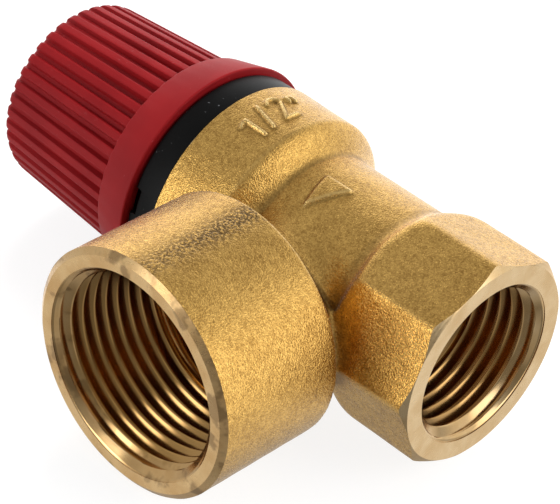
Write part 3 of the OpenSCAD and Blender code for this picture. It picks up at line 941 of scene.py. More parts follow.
@dataclass(frozen=True)
class SizeMark:
    """The pipe size in raised strokes, drawn on the unrolled housing from its middle and lower edge."""

    rise: float = 0.46
    half_width: float = 0.23
    low: float = 34.7
    margin: float = 2.0
    wall_share: float = 0.6
    soft: float = 0.35
    # Distance that stands for being far from the mark
    absent: float = 50.0
    # Strokes of the one, the slash, the two and the inch sign, across and up
    one_foot: FlatPlace = (-3.6, -0.3)
    one_top: FlatPlace = (-3.65, 3.15)
    one_flag: FlatPlace = (-4.75, 2.75)
    slash_foot: FlatPlace = (-2.05, -0.15)
    slash_top: FlatPlace = (-1.0, 3.95)
    bow_middle: FlatPlace = (1.25, 3.3)
    bow_reach: FlatPlace = (0.9, 0.8)
    bow_deg: Span = (165.0, -35.0)
    bow_points: int = 9
    two_heel: FlatPlace = (0.3, 0.15)
    two_toe: FlatPlace = (2.4, 0.05)
    first_tick: tuple[FlatPlace, FlatPlace] = ((3.5, 2.75), (3.5, 3.55))
    second_tick: tuple[FlatPlace, FlatPlace] = ((4.35, 2.5), (4.3, 3.5))

    def strokes(self) -> np.ndarray:
        """Draws the numerals: a part of an ellipse for the two's bow, and straight strokes.

        Returns:
            Start and end points of the strokes, in millimetres.
        """
        bow = np.radians(np.linspace(*self.bow_deg, self.bow_points))
        round_bow = np.stack((np.cos(bow), np.sin(bow)), axis=-1)
        curve = np.array(self.bow_middle) + np.array(self.bow_reach) * round_bow
        two = np.concatenate((curve, [self.two_heel, self.two_toe]))
        straight = (
            (self.one_foot, self.one_top),
            (self.one_top, self.one_flag),
            (self.slash_foot, self.slash_top),
            self.first_tick,
            self.second_tick,
        )
        return np.concatenate((np.stack((two[:-1], two[1:]), axis=1), np.array(straight)))

    def distance(self, flat: np.ndarray) -> np.ndarray:
        """Distance to the nearest stroke: from a point to its foot on each stroke, less half the width.

        Args:
            flat: Points on the unrolled housing.

        Returns:
            The distance of each point, below nought on a stroke.
        """
        closest = np.full(flat.shape[0], np.inf)
        for start, end in self.strokes():
            run = end - start
            share = np.clip((flat - start) @ run / (run @ run), 0.0, 1.0)
            apart = np.linalg.norm(flat - start - share[:, None] * run, axis=-1)
            closest = np.minimum(closest, apart)
        return closest - self.half_width


@dataclass
class ForgedSkin:
    """The forged outside of the body: octagon, neck, spring housing, boss, arrow and size mark."""

    octagon_half: float = 13.0
    octagon_sides: int = 8
    octagon_length: float = 10.0
    octagon_fade: float = 3.5
    fade_soft: float = 0.5
    corner_r: float = 14.07
    corner_set: float = 0.06
    corner_soft: float = 0.08
    neck_start: float = 11.8
    neck_r: float = 12.1
    neck_fillet: float = 1.0
    shoulder_height: float = 28.9
    shoulder_length: float = 3.6
    housing_low_r: float = 15.2
    housing_top_r: float = 15.3
    housing_top: float = 41.1
    boss_r: float = 15.6
    boss_end: float = 33.0
    boss_back: float = 15.6
    boss_back_r: float = 1.0
    boss_fillet: float = 1.0
    stub_r: float = 9.5
    stub_end: float = 11.5
    stub_fillet: float = 2.0
    chamfer_start_r: float = 13.0
    chamfer_slope: float = 0.70
    chamfer_reach: float = 1.0
    # The raised arrow and the size mark
    arrow_rise: float = 0.5
    arrow_half: float = 2.3
    arrow_base: float = 0.8
    arrow_length: float = 5.6
    arrow_lean: float = 1.0
    arrow_slope: float = 0.35
    arrow_low: float = 4.0
    arrow_soft: float = 0.2
    arrow_fillet: float = 0.2
    mark: SizeMark = SizeMark()
    mark_fillet: float = 0.18
    # Slight waviness: its height, and radians for each millimetre on y and z, and on the height and y
    wave_height: float = 0.018
    wave_across: tuple[float, float] = (0.9, 1.3)
    wave_along: tuple[float, float] = (0.8, 0.7)
    # Height above the axis from which the upper side counts
    top_side: float = 8.0
    # How the field's bend turns into painted shade in hollows and into worn edges
    bend_step: float = 0.6
    bend_hollow: float = 0.9
    fine_hollow: float = 0.25
    hollow_from: float = 0.05
    fine_most: float = 0.7
    fine_worn: float = 0.3
    worn_from: float = 0.15
    # The pitted streak along the boss
    streak_shift: float = 0.7
    streak_width: float = 2.0
    streak_start: float = 0.6
    streak_full: float = 1.1
    streak_length: float = 45.0
    streak_least: float = 0.35
    # How the skin is worked out
    edge_margin: float = 0.4
    edge_halvings: int = 30
    cell: float = 0.3
    margin: float = 1.0
    half_width: float = 16.6
    crease_deg: float = 75.0

    def plain(self, points: np.ndarray) -> np.ndarray:
        """Distance from the forged shape without its raised marks: the pieces joined with fillets.

        Args:
            points: Places in millimetres.

        Returns:
            The distance of each, below nought inside.
        """
        height = INLET_FACE_X - points[..., 0]
        y, z = points[..., 1], points[..., 2]
        reach = np.hypot(y, z)
        octagon = self.octagon(height, y, z, reach)
        shape = smooth_union(octagon, self.barrel(height, reach), self.neck_fillet)
        shape = smooth_union(shape, self.stub(points), self.stub_fillet)
        return smooth_union(shape, self.boss(points), self.boss_fillet)

    def field(self, points: np.ndarray) -> np.ndarray:
        """Distance from the whole forged shape: plain shape, arrow and size mark, plus crossed sines.

        Args:
            points: Places in millimetres.

        Returns:
            The distance of each, below nought inside.
        """
        height = INLET_FACE_X - points[..., 0]
        y, z = points[..., 1], points[..., 2]
        reach = np.hypot(y, z)
        shape = smooth_union(self.plain(points), self.arrow(points, reach), self.arrow_fillet)
        shape = smooth_union(shape, self.size_mark(height, y, z, reach), self.mark_fillet)
        across = np.sin(self.wave_across[0] * y + self.wave_across[1] * z)
        along = np.sin(self.wave_along[0] * height + self.wave_along[1] * y)
        return shape + self.wave_height * across * along

    def octagon(
        self, height: np.ndarray, y: np.ndarray, z: np.ndarray, reach: np.ndarray
    ) -> np.ndarray:
        """Eight flats: the greatest of their distances, rounded into the corners' circle and an ellipse.

        The ellipse runs down from the flats to the neck.

        Args:
            height: Distance of the points from the inlet face.
            y: Their second coordinate.
            z: Their third coordinate.
            reach: Their distance from the main axis.

        Returns:
            The distance of each from the octagon.
        """
        flat = np.full(reach.shape, -np.inf)
        for side in range(self.octagon_sides):
            angle = FULL_TURN * (side + 0.5) / self.octagon_sides
            flat = np.maximum(flat, y * math.cos(angle) + z * math.sin(angle))
        edges = reach - self.corner_r + self.corner_set
        prism = smooth_common(flat - self.octagon_half, edges, self.corner_soft)
        drop = self.corner_r - self.neck_r
        across = (reach - self.neck_r) / drop
        along = np.maximum(height - self.octagon_length, 0.0) / self.octagon_fade
        fade = (np.hypot(np.maximum(across, 0.0), along) - 1.0) * drop
        return smooth_common(prism, fade, self.fade_soft)

    def barrel(self, height: np.ndarray, reach: np.ndarray) -> np.ndarray:
        """Neck and housing: the radius eases from one to the other, and the housing widens a little.

        Args:
            height: Distance of the points from the inlet face.
            reach: Their distance from the main axis.

        Returns:
            The distance of each, divided by the length of the outline's slope to keep it even.
        """
        share = np.clip((height - self.shoulder_height) / self.shoulder_length, 0.0, 1.0)
        widening = self.housing_low_r - self.neck_r
        shoulder_top = self.shoulder_height + self.shoulder_length
        flare = (self.housing_top_r - self.housing_low_r) / (self.housing_top - shoulder_top)
        radius = self.neck_r + widening * smooth_step(share)
        radius = radius + flare * np.maximum(height - shoulder_top, 0.0)
        slope = 6.0 * widening / self.shoulder_length * share * (1.0 - share)
        return np.maximum((reach - radius) / np.hypot(1.0, slope), self.neck_start - height)

    def boss(self, points: np.ndarray) -> np.ndarray:
        """A barrel on the outlet axis: the hypotenuse of what lies outside its wall and behind its back.

        Args:
            points: Places in millimetres.

        Returns:
            The distance of each from the boss.
        """
        out = np.hypot(points[..., 0] - OUTLET_X, points[..., 2]) - self.boss_r + self.boss_back_r
        behind = self.boss_back + self.boss_back_r + points[..., 1]
        corner = np.hypot(np.maximum(out, 0.0), np.maximum(behind, 0.0))
        return corner + np.minimum(np.maximum(out, behind), 0.0) - self.boss_back_r

    def stub(self, points: np.ndarray) -> np.ndarray:
        """A round stub from the neck to the boss: the distance across, less what its cone has gained.

        Args:
            points: Places in millimetres.

        Returns:
            The distance of each from the stub.
        """
        slope = (self.boss_r - self.boss_back_r - self.stub_r) / (self.boss_back - self.stub_end)
        along = -points[..., 1]
        out = np.hypot(points[..., 0] - OUTLET_X, points[..., 2]) - self.stub_r
        cone = (out - slope * (along - self.stub_end)) / math.hypot(1.0, slope)
        side = np.where(along > self.stub_end, cone, out)
        return np.maximum(side, np.maximum(along - self.boss_back, -along))

    def arrow(self, points: np.ndarray, reach: np.ndarray) -> np.ndarray:
        """A raised triangle that points to the outlet: the greatest distance from its three sloping walls.

        Args:
            points: Places in millimetres.
            reach: Their distance from the main axis.

        Returns:
            The distance of each from the arrow.
        """
        corners = np.array(
            [
                (-self.arrow_half, -self.arrow_base),
                (-self.arrow_lean, -self.arrow_base - self.arrow_length),
                (self.arrow_half, -self.arrow_base),
            ]
        )
        walls = self.arrow_low - points[..., 2]
        for start, end in zip(corners, np.roll(corners, -1, axis=0)):
            run = (end - start) / np.linalg.norm(end - start)
            across = points[..., 0] - OUTLET_X - start[0]
            ahead = points[..., 1] - start[1]
            walls = np.maximum(walls, across * run[1] - ahead * run[0])
        above = reach - self.neck_r
        sloped = (walls + above * self.arrow_slope) / math.hypot(1.0, self.arrow_slope)
        return smooth_common(sloped, above - self.arrow_rise, self.arrow_soft)

    def size_mark(
        self, height: np.ndarray, y: np.ndarray, z: np.ndarray, reach: np.ndarray
    ) -> np.ndarray:
        """The size mark on the housing's wall: the wall is unrolled by its angle times its radius.

        Args:
            height: Distance of the points from the inlet face.
            y: Their second coordinate.
            z: Their third coordinate.
            reach: Their distance from the main axis.

        Returns:
            The distance of each from the mark, or a large number far from it.
        """
        near = (height > self.mark.low - self.mark.margin) & (z > self.top_side)
        rolled = np.arctan2(y[near], z[near]) * self.housing_top_r
        flat = np.stack((rolled, height[near] - self.mark.low), axis=-1)
        wall = self.housing_low_r + self.mark.wall_share * (self.housing_top_r - self.housing_low_r)
        above = reach[near] - wall - self.mark.rise
        result = np.full(reach.shape, self.mark.absent)
        result[near] = smooth_common(self.mark.distance(flat), above, self.mark.soft)
        return result

    def chamfer(self, points: np.ndarray) -> np.ndarray:
        """Distance behind the cone round the inlet face: the height less the cone's height at that radius.

        Args:
            points: Places in millimetres.

        Returns:
            The distance of each, above nought where the skin stays.
        """
        height = INLET_FACE_X - points[..., 0]
        reach = np.hypot(points[..., 1], points[..., 2])
        cone = height - (reach - self.chamfer_start_r) * self.chamfer_slope
        return np.maximum(cone, reach - self.corner_r - self.chamfer_reach)

    def below_rim(self, points: np.ndarray) -> np.ndarray:
        """Distance below the housing's rim."""
        return points[..., 0] - INLET_FACE_X + self.housing_top

    def behind_outlet(self, points: np.ndarray) -> np.ndarray:
        """Distance behind the chamfer of the outlet face."""
        return points[..., 1] + self.boss_end

    def edge_radius(self, angle: np.ndarray) -> np.ndarray:
        """Radius at which the inlet chamfer meets the forged outside, by halving the span.

        Args:
            angle: Angles about the main axis.

        Returns:
            The radius at each angle.
        """
        low = np.full(angle.shape, self.chamfer_start_r - self.edge_margin)
        high = np.full(angle.shape, self.corner_r + self.edge_margin)
        for _ in range(self.edge_halvings):
            middle = (low + high) / 2.0
            cone = (middle - self.chamfer_start_r) * self.chamfer_slope
            outside = self.field(Axis.MAIN.place(middle, angle, cone)) > 0.0
            high = np.where(outside, middle, high)
            low = np.where(outside, low, middle)
        return (low + high) / 2.0

    def bend(self, shape: Field, points: np.ndarray, step: float) -> np.ndarray:
        """How a field bends: the sum of its changes to six places a step away, over the step squared.

        Args:
            shape: The field.
            points: Places in millimetres.
            step: The step.

        Returns:
            The bend at each point, above nought on ridges and below it in hollows.
        """
        total = -6.0 * shape(points)
        for side in step * np.eye(3):
            total = total + shape(points + side) + shape(points - side)
        return total / step**2

    def marks(self, points: np.ndarray) -> dict[str, np.ndarray]:
        """Marks for the finish: painted shade in hollows and worn edges by the field's bend, and a streak
        on the boss.

        Args:
            points: The skin's points.

        Returns:
            Values from nought to one by the mark's name.
        """
        fine = self.bend(self.field, points, self.cell)
        broad = self.bend(self.plain, points, self.bend_step)
        # Painted shade in broad hollows and in the fine clefts round the raised marks
        hollow = np.clip(-broad * self.bend_hollow - self.hollow_from, 0.0, 1.0)
        cleft_shade = np.clip(-fine * self.fine_hollow - self.hollow_from, 0.0, self.fine_most)
        worn = np.clip(fine * self.fine_worn - self.worn_from, 0.0, 1.0)
        along = -points[:, 1] - self.boss_back
        across = (points[:, 0] - OUTLET_X - self.streak_shift) / self.streak_width
        start = np.clip(along / self.streak_start, 0.0, 1.0)
        fading = np.clip(self.streak_full - along / self.streak_length, self.streak_least, 1.0)
        streak = start * fading * np.exp(-(across**2)) * (points[:, 2] > self.top_side)
        return {"hollow": np.maximum(hollow, cleft_shade), "worn": worn, "streak": streak}

    def build(self) -> bpy.types.Object:
        """Skins the field and cuts it at the two mouths and at the housing's rim.

        Returns:
            The piece.
        """
        knob_side = INLET_FACE_X - self.housing_top - self.margin
        low = np.array([knob_side, -self.boss_end - self.margin, -self.half_width])
        high = np.array([INLET_FACE_X + self.margin, self.half_width, self.half_width])
        skin = surface_net(self.field, low, high, self.cell)
        for keep in (self.chamfer, self.below_rim, self.behind_outlet):
            skin = trimmed(skin, self.field, keep)
        skin.marks = self.marks(skin.points)
        return make_piece("forged_body", skin, FORGED, self.crease_deg)


@dataclass
class MainBore:
    """Everything turned on the main axis: inlet face, thread, seat, chamber and housing bore."""

    skin: ForgedSkin
    thread: PipeThread = PipeThread(
        major_r=10.4775, mouth_r=10.5975, countersink=1.25, land=1.8, length=9.2
    )
    floor: float = 12.4
    seat_bore_r: float = 5.5
    seat_height: float = 20.5
    lip_r: float = 6.2
    nozzle_r: float = 7.4
    bevel: float = 0.8
    chamber_floor: float = 14.6
    ledge: float = 31.5
    housing_bore_r: float = 13.1
    rim_tuck: float = 0.6
    foot_ease: float = 0.4
    lip_ease: float = 0.15
    floor_ease: float = 0.3
    wall_rows: int = 44
    columns: int = 288

    def upper(self) -> Surface:
        """Runs from the housing's rim down to the ledge, then to the top of the chamber.

        Returns:
            The turned stretch.
        """
        corners = (
            Corner(self.skin.housing_top_r - TUCK_R, self.skin.housing_top - self.rim_tuck),
            Corner(self.skin.housing_top_r, self.skin.housing_top),
            Corner(self.housing_bore_r, self.skin.housing_top),
            Corner(self.housing_bore_r, self.ledge),
            Corner(CHAMBER_R, self.ledge),
        )
        outline = rounded_outline(corners, closed=False)
        return turned(Axis.MAIN, outline[:, :1], outline[:, 1:2], self.columns, closed=False)

    def chamber_wall(self) -> Surface:
        """Turns the chamber's wall and opens it where the passage to the outlet starts.

        Returns:
            The trimmed wall.
        """
        heights = np.linspace(self.ledge, self.chamber_floor, self.wall_rows)[:, None]
        radius = np.full_like(heights, CHAMBER_R)
        wall = turned(Axis.MAIN, radius, heights, self.columns, closed=False)

        def on_wall(points: np.ndarray) -> np.ndarray:
            """Distance from the wall."""
            return np.hypot(points[..., 1], points[..., 2]) - CHAMBER_R

        def off_passage(points: np.ndarray) -> np.ndarray:
            """Distance outside the passage, which leaves on the outlet's side only."""
            apart = np.hypot(points[..., 0] - OUTLET_X, points[..., 2]) - PASSAGE_R
            return np.maximum(apart, points[..., 1])

        return trimmed(wall, on_wall, off_passage)

    def lower(self) -> Surface:
        """Runs from the chamber floor over the seat and down the inlet thread to the chamfer's edge.

        Returns:
            The turned stretch.
        """
        corners = (
            Corner(CHAMBER_R, self.chamber_floor),
            Corner(self.nozzle_r, self.chamber_floor, self.foot_ease),
            Corner(self.nozzle_r, self.seat_height - self.bevel),
            Corner(self.lip_r, self.seat_height, self.lip_ease),
            Corner(self.seat_bore_r, self.seat_height, self.lip_ease),
            Corner(self.seat_bore_r, self.floor, self.floor_ease),
            Corner(self.thread.minor_r, self.floor),
        )
        outline = rounded_outline(corners, closed=False)
        angle = angles_round(self.columns)
        flat = np.ones_like(angle)
        depth = self.thread.depths(-angle)[::-1]
        edge = self.skin.edge_radius(angle)
        edge_height = (edge - self.skin.chamfer_start_r) * self.skin.chamfer_slope
        radius = [outline[:, :1] * flat, self.thread.radius(depth, -angle)]
        height = [outline[:, 1:2] * flat, depth]
        radius.extend((self.skin.chamfer_start_r * flat, edge, edge - TUCK_R))
        height.extend((0.0 * flat, edge_height, edge_height + TUCK))
        rows = (np.concatenate(radius), np.concatenate(height))
        return turned(Axis.MAIN, *rows, self.columns, closed=False)

    def build(self) -> bpy.types.Object:
        """Joins the stretches of the bore and marks how deep they lie.

        Returns:
            The piece.
        """
        surface = as_triangles(self.upper().joined(self.chamber_wall(), self.lower()))
        depth = INLET_FACE_X - surface.points[:, 0]
        reach = np.hypot(surface.points[:, 1], surface.points[:, 2])
        # Depth in the bore, which sets how much painted shade the finish lays on
        surface.marks = {"bored": self.thread.bored(depth, reach)}
        return make_piece("inlet_and_seat", surface, TURNED_INLET)


@dataclass
class OutletBore:
    """Everything turned on the outlet axis: face, chamfer, thread and the passage to the chamber."""

    skin: ForgedSkin
    thread: PipeThread = PipeThread(
        major_r=13.2205, mouth_r=13.3005, countersink=1.15, land=1.6, length=14.6, start_deg=90.0
    )
    reach: float = 33.6
    face_r: float = 14.8
    columns: int = 288

    def build(self) -> bpy.types.Object:
        """Runs from the forged outside over the face and down the thread to the chamber.

        Returns:
            The piece.
        """
        angle = angles_round(self.columns)
        flat = np.ones_like(angle)
        depth = self.thread.depths(angle)
        rim = self.skin.boss_r
        mouth = (
            (rim - TUCK_R, self.skin.boss_end - TUCK),
            (rim, self.skin.boss_end),
            (self.face_r, self.reach),
        )
        floor = self.reach - self.thread.end
        start = np.sqrt(CHAMBER_R**2 - (PASSAGE_R * np.sin(angle)) ** 2)
        radius = [row * flat for row, _ in mouth]
        height = [row * flat for _, row in mouth]
        radius.append(self.thread.radius(depth, angle))
        height.append(self.reach - depth)
        radius.extend((PASSAGE_R * flat, PASSAGE_R * flat))
        height.extend((floor * flat, start))
        rows = (np.concatenate(radius), np.concatenate(height))
        surface = as_triangles(turned(Axis.OUTLET, *rows, self.columns, closed=False))
        reach = np.hypot(surface.points[:, 0] - OUTLET_X, surface.points[:, 2])
        # Depth in the bore, which sets how much painted shade the finish lays on
        surface.marks = {"bored": self.thread.bored(self.reach + surface.points[:, 1], reach)}
        return make_piece("outlet_mouth", surface, TURNED_OUTLET)


@dataclass
class CamRing:
    """A ring of four ramps between the collar and the knob."""

    inner_r: float = 11.3
    outer_r: float = 13.1
    ramps: int = 4
    span_deg: float = 86.0
    lift: float = 2.0
    turn_deg: float = 75.0
    steps: int = 24

    def build(self, low: float, high: float, low_climbs: bool) -> list[Surface]:
        """Carries a four-cornered section round each ramp, one of its levels climbing with the angle.

        Args:
            low: Level of the underside where the ramp starts.
            high: Level of the top where the ramp starts.
            low_climbs: Whether the underside climbs and not the top.

        Returns:
            One closed surface for each ramp.
        """
        turn = np.linspace(0.0, self.span_deg, self.steps + 1)[:, None]
        climb = turn * (self.lift / self.turn_deg)
        radius = np.array([[self.inner_r, self.outer_r, self.outer_r, self.inner_r]])
        top = np.array([[False, False, True, True]])
        level = np.where(top, high, low) + climb * (top != low_climbs)
        starts = FULL_TURN * np.arange(self.ramps) / self.ramps
        angles = (np.radians(turn) + start for start in starts)
        return [capped_tube(Axis.MAIN.place(radius, angle, level)) for angle in angles]


@dataclass
class Collar:
    """The black bonnet: spigot in the housing, visible collar, register and spring tube."""

    spigot_bore_r: float = 10.4
    spigot_r: float = 13.0
    low: float = 33.9
    base: float = 41.1
    collar_r: float = 15.1
    top: float = 45.0
    register_r: float = 13.4
    register_top: float = 46.5
    tube_r: float = 10.2
    tube_bore_r: float = 8.9
    tube_top: float = 60.0
    edge: float = 0.35
    ease: float = 0.2
    notch_width: float = 3.2
    notch_depth: float = 0.9
    notch_turn_deg: float = -74.0
    notch_back_r: float = 13.6
    notch_draft: float = 0.02
    cam_sunk: float = 0.2
    cam_rise: float = 0.3
    columns: int = 720
    cam: CamRing = field(default_factory=CamRing)

    def notch(self, angle: np.ndarray) -> np.ndarray:
        """Share of the notch in the collar's rim by angle: one inside its width, nought outside."""
        apart = np.angle(np.exp(1j * (angle - math.radians(self.notch_turn_deg)))) * self.collar_r
        return (np.abs(apart) < self.notch_width / 2.0).astype(float)

    def build(self) -> bpy.types.Object:
        """Turns the outline with soft edges, sinks the notch and sets the lower cam ring on it.

        Returns:
            The piece.
        """
        corners = (
            Corner(self.spigot_bore_r, self.low, self.ease),
            Corner(self.spigot_r, self.low, self.ease),
            Corner(self.spigot_r, self.base),
            Corner(self.collar_r, self.base, self.edge),
            Corner(self.collar_r, self.top, self.edge, 1.0),
            Corner(self.notch_back_r, self.top, 0.0, 1.0),
            Corner(self.notch_back_r - self.notch_draft, self.top),
            Corner(self.register_r, self.top),
            Corner(self.register_r, self.register_top, self.ease),
            Corner(self.tube_r, self.register_top, self.ease),
            Corner(self.tube_r, self.tube_top, self.ease),
            Corner(self.tube_bore_r, self.tube_top, self.ease),
            Corner(self.tube_bore_r, self.top, self.ease),
            Corner(self.spigot_bore_r, self.base, self.ease),
        )
        outline = rounded_outline(corners, closed=True)
        sunk = self.notch_depth * outline[:, 2:] * self.notch(angles_round(self.columns))
        radius = np.broadcast_to(outline[:, :1], sunk.shape)
        shell = turned(Axis.MAIN, radius, outline[:, 1:2] - sunk, self.columns, closed=True)
        levels = (self.register_top - self.cam_sunk, self.register_top + self.cam_rise)
        ramps = self.cam.build(*levels, low_climbs=False)
        return make_piece("collar", as_triangles(shell).joined(*ramps), BLACK)


@dataclass
class Knob:
    """The red knob: smooth conical skirt, ribbed grip, hub, and the upper cam ring."""

    low: float = 45.3
    end: float = 71.4
    skirt_low_r: float = 15.9
    skirt_top_r: float = 14.5
    skirt_top: float = 51.0
    rib_low_r: float = 13.75
    rib_end_r: float = 12.4
    ribs: int = 40
    groove_depth: float = 0.8
    groove_shift: float = 0.15
    groove_span: float = 0.9
    samples_per_rib: int = 16
    skirt_bore_r: float = 13.9
    shoulder: float = 49.8
    bore_r: float = 10.9
    recess_r: float = 7.2
    recess_floor: float = 67.0
    hub_low: float = 64.5
    hub_bore_r: float = 1.95
    cup_r: float = 8.6
    roof: float = 69.6
    ease: float = 0.3
    skirt_ease: float = 0.35
    skirt_top_ease: float = 0.4
    end_ease: float = 1.4
    end_grooved: float = 0.5
    inner_ease: float = 0.2
    hub_ease: float = 0.1
    cam_low: float = 46.95
    cam_sunk: float = 0.2
    crease_deg: float = 40.0
    cam: CamRing = field(default_factory=CamRing)

    def grooves(self, angle: np.ndarray) -> np.ndarray:
        """Depth of the grooves from nought on a rib to one in a groove: an eased cosine of the angle.

        Args:
            angle: Angles about the main axis.

        Returns:
            The share of the full depth at each angle.
        """
        wave = -np.cos(self.ribs * angle)
        return smooth_step(np.clip((wave + self.groove_shift) / self.groove_span, 0.0, 1.0))

    def build(self) -> bpy.types.Object:
        """Turns the outline, sinks the grooves where it is ribbed, and hangs the cam ring inside.

        Returns:
            The piece.
        """
        corners = (
            Corner(self.skirt_bore_r, self.low, self.ease),
            Corner(self.skirt_low_r, self.low, self.skirt_ease),
            Corner(self.skirt_top_r, self.skirt_top, self.skirt_top_ease),
            Corner(self.rib_low_r, self.skirt_top, self.ease, 1.0),
            Corner(self.rib_end_r, self.end, self.end_ease, self.end_grooved),
            Corner(self.recess_r, self.end, self.ease),
            Corner(self.recess_r, self.recess_floor, self.inner_ease),
            Corner(self.hub_bore_r, self.recess_floor, self.hub_ease),
            Corner(self.hub_bore_r, self.hub_low, self.hub_ease),
            Corner(self.cup_r, self.hub_low, self.ease),
            Corner(self.cup_r, self.roof, self.inner_ease),
            Corner(self.bore_r, self.roof, self.inner_ease),
            Corner(self.bore_r, self.shoulder, self.inner_ease),
            Corner(self.skirt_bore_r, self.shoulder, self.inner_ease),
        )
        outline = rounded_outline(corners, closed=True)
        columns = self.ribs * self.samples_per_rib
        sunk = self.groove_depth * outline[:, 2:] * self.grooves(angles_round(columns))
        height = np.broadcast_to(outline[:, 1:2], sunk.shape)
        shell = turned(Axis.MAIN, outline[:, :1] - sunk, height, columns, closed=True)
        ramps = self.cam.build(self.cam_low, self.shoulder + self.cam_sunk, low_climbs=True)
        grip = as_triangles(shell).joined(*ramps)
        return make_piece("knob_grip", grip, RED, self.crease_deg)


@dataclass
class EndCap:
    """The cap that closes the recess in the knob's end, slightly dished with a raised rim."""

    radius: float = 7.15
    low: float = 70.2
    top: float = 71.4
    dish: float = 0.35
    rim_width: float = 1.0
    dish_slope: float = 0.6
    middle_r: float = 0.3
    foot_ease: float = 0.2
    ease: float = 0.3
    columns: int = 160

    def build(self) -> bpy.types.Object:
        """Turns the outline of the cap and closes it with a fan at each end of the outline.

        Returns:
            The piece.
        """
        rim_r = self.radius - self.rim_width
        floor = self.top - self.dish
        corners = (
            Corner(self.middle_r, self.low),
            Corner(self.radius, self.low, self.foot_ease),
            Corner(self.radius, self.top, self.ease),
            Corner(rim_r, self.top, self.ease),
            Corner(rim_r - self.dish_slope, floor, self.ease),
            Corner(self.middle_r, floor),
        )
        outline = rounded_outline(corners, closed=False)
        rings = Axis.MAIN.place(outline[:, :1], angles_round(self.columns), outline[:, 1:2])
        return make_piece("knob_end_cap", capped_tube(rings), RED)


@dataclass
class MainSpring:
    """The wound spring with closed end turns."""

    mean_r: float = 6.6
    wire_r: float = 1.1
    turns: float = 5.5
    base: float = 35.45
    rise: float = 16.4
    closed_turns: float = 0.8
    closed_gap: float = 0.04
    samples: int = 600
    rings_per_turn: int = 48
    sides: int = 18
    crease_deg: float = 60.0

    def climb(self, turn: np.ndarray) -> np.ndarray:
        """Height of the wire's middle: the sum of a pitch that eases to the wire's width at both ends.

        Args:
            turn: Turns from the lower end.

        Returns:
            The height at each, as a share of the whole sum times the spring's rise.
        """
        fine = np.linspace(0.0, self.turns, self.samples)
        from_end = np.minimum(fine, self.turns - fine)
        share = np.clip(from_end / self.closed_turns, 0.0, 1.0)
        pitch = 2.0 * self.wire_r + self.closed_gap + smooth_step(share)
        total = np.concatenate(([0.0], np.cumsum((pitch[1:] + pitch[:-1]) / 2.0)))
        return np.interp(turn, fine, total / total[-1]) * self.rise

    def build(self) -> bpy.types.Object:
        """Carries a round section along the helix.

        Returns:
            The piece.
        """
        count = round(self.turns * self.rings_per_turn)
        turn = np.linspace(0.0, self.turns, count + 1)[:, None]
        side = angles_round(self.sides)
        radius = self.mean_r + self.wire_r * np.cos(side)
        height = self.base + self.climb(turn) + self.wire_r * np.sin(side)
        rings = Axis.MAIN.place(radius, FULL_TURN * turn, height)
        coil = capped_tube(rings[:, ::-1])
        return make_piece("main_spring", coil, STEEL, self.crease_deg)


@dataclass
class SeatDisc:
    """The moulded rubber disc that closes the seat."""

    bore_r: float = 1.5
    radius: float = 6.9
    low: float = 20.55
    top: float = 22.55
    edge: float = 0.35

    def build(self) -> bpy.types.Object:
        """Turns a ring whose two outer edges are rounded.

        Returns:
            The piece.
        """
        corners = (
            Corner(self.bore_r, self.low),
            Corner(self.radius, self.low, self.edge),
            Corner(self.radius, self.top, self.edge),
            Corner(self.bore_r, self.top),
        )
        return make_piece("seat_rubber", lathe(corners), RUBBER)


@dataclass
class Diaphragm:
    """The rubber diaphragm: a middle that moves with the stem, a rim that stays, and a fold between."""

    bore_r: float = 2.5
    middle_r: float = 7.7
    held_r: float = 10.1
    rim_r: float = 13.0
    low: float = 31.5
    top: float = 32.7
    fold_r: float = 8.75
    fold_half: float = 0.85
    fold_rise: float = 0.85
    hollow_share: float = 0.5
    sectors: int = 12
    rows: int = 25
    rings: int = 11
    crease_deg: float = 60.0

    def flat(self, name: str, inner_r: float, outer_r: float) -> bpy.types.Object:
        """Turns a flat ring of the sheet.

        Args:
            name: The piece's name.
            inner_r: Radius of its hole.
            outer_r: Radius of its edge.

        Returns:
            The piece.
        """
        across = ((inner_r, self.low), (outer_r, self.low), (outer_r, self.top), (inner_r, self.top))
        corners = [Corner(*place) for place in across]
        return make_piece(name, lathe(corners), RUBBER)

    def fold(self, index: int) -> bpy.types.Object:
        """Carries the fold's outline, a cosine hump over a lesser hollow, round one sector.

        Args:
            index: The sector's number.

        Returns:
            The piece.
        """
        across = np.linspace(self.middle_r, self.held_r, self.rows)
        share = np.clip((across - self.fold_r) / self.fold_half, -1.0, 1.0)
        hump = self.fold_rise * np.cos(share * math.pi / 2.0) ** 2
        under = self.low + self.hollow_share * hump
        over = self.top + hump
        radius = np.concatenate((across, across[::-1]))
        height = np.concatenate((under, over[::-1]))
        spread = np.linspace(-0.5, 0.5, self.rings)[:, None]
        outline = Axis.MAIN.place(radius, FULL_TURN * (index + spread) / self.sectors, height)
        sector = capped_tube(outline[:, ::-1])
        name = f"diaphragm_fold_{index + 1}"
        return make_piece(name, sector, RUBBER, self.crease_deg)

    def build(self) -> None:
        """Makes the middle, the rim and the fold, whose sectors reach across from one to the other."""
        attach(self.flat("diaphragm_middle", self.bore_r, self.middle_r), "spindle", "diaphragm")
        attach(self.flat("diaphragm_rim", self.held_r, self.rim_r), "housing", "diaphragm")
        reach = (self.middle_r, self.held_r * math.cos(math.pi / self.sectors))
        for index in range(self.sectors):
            sector = self.fold(index)
            middle = FULL_TURN * index / self.sectors
            start, end = (Axis.MAIN.place(radius, middle, self.low) * MM for radius in reach)
            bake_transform(sector)
            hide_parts("diaphragm")


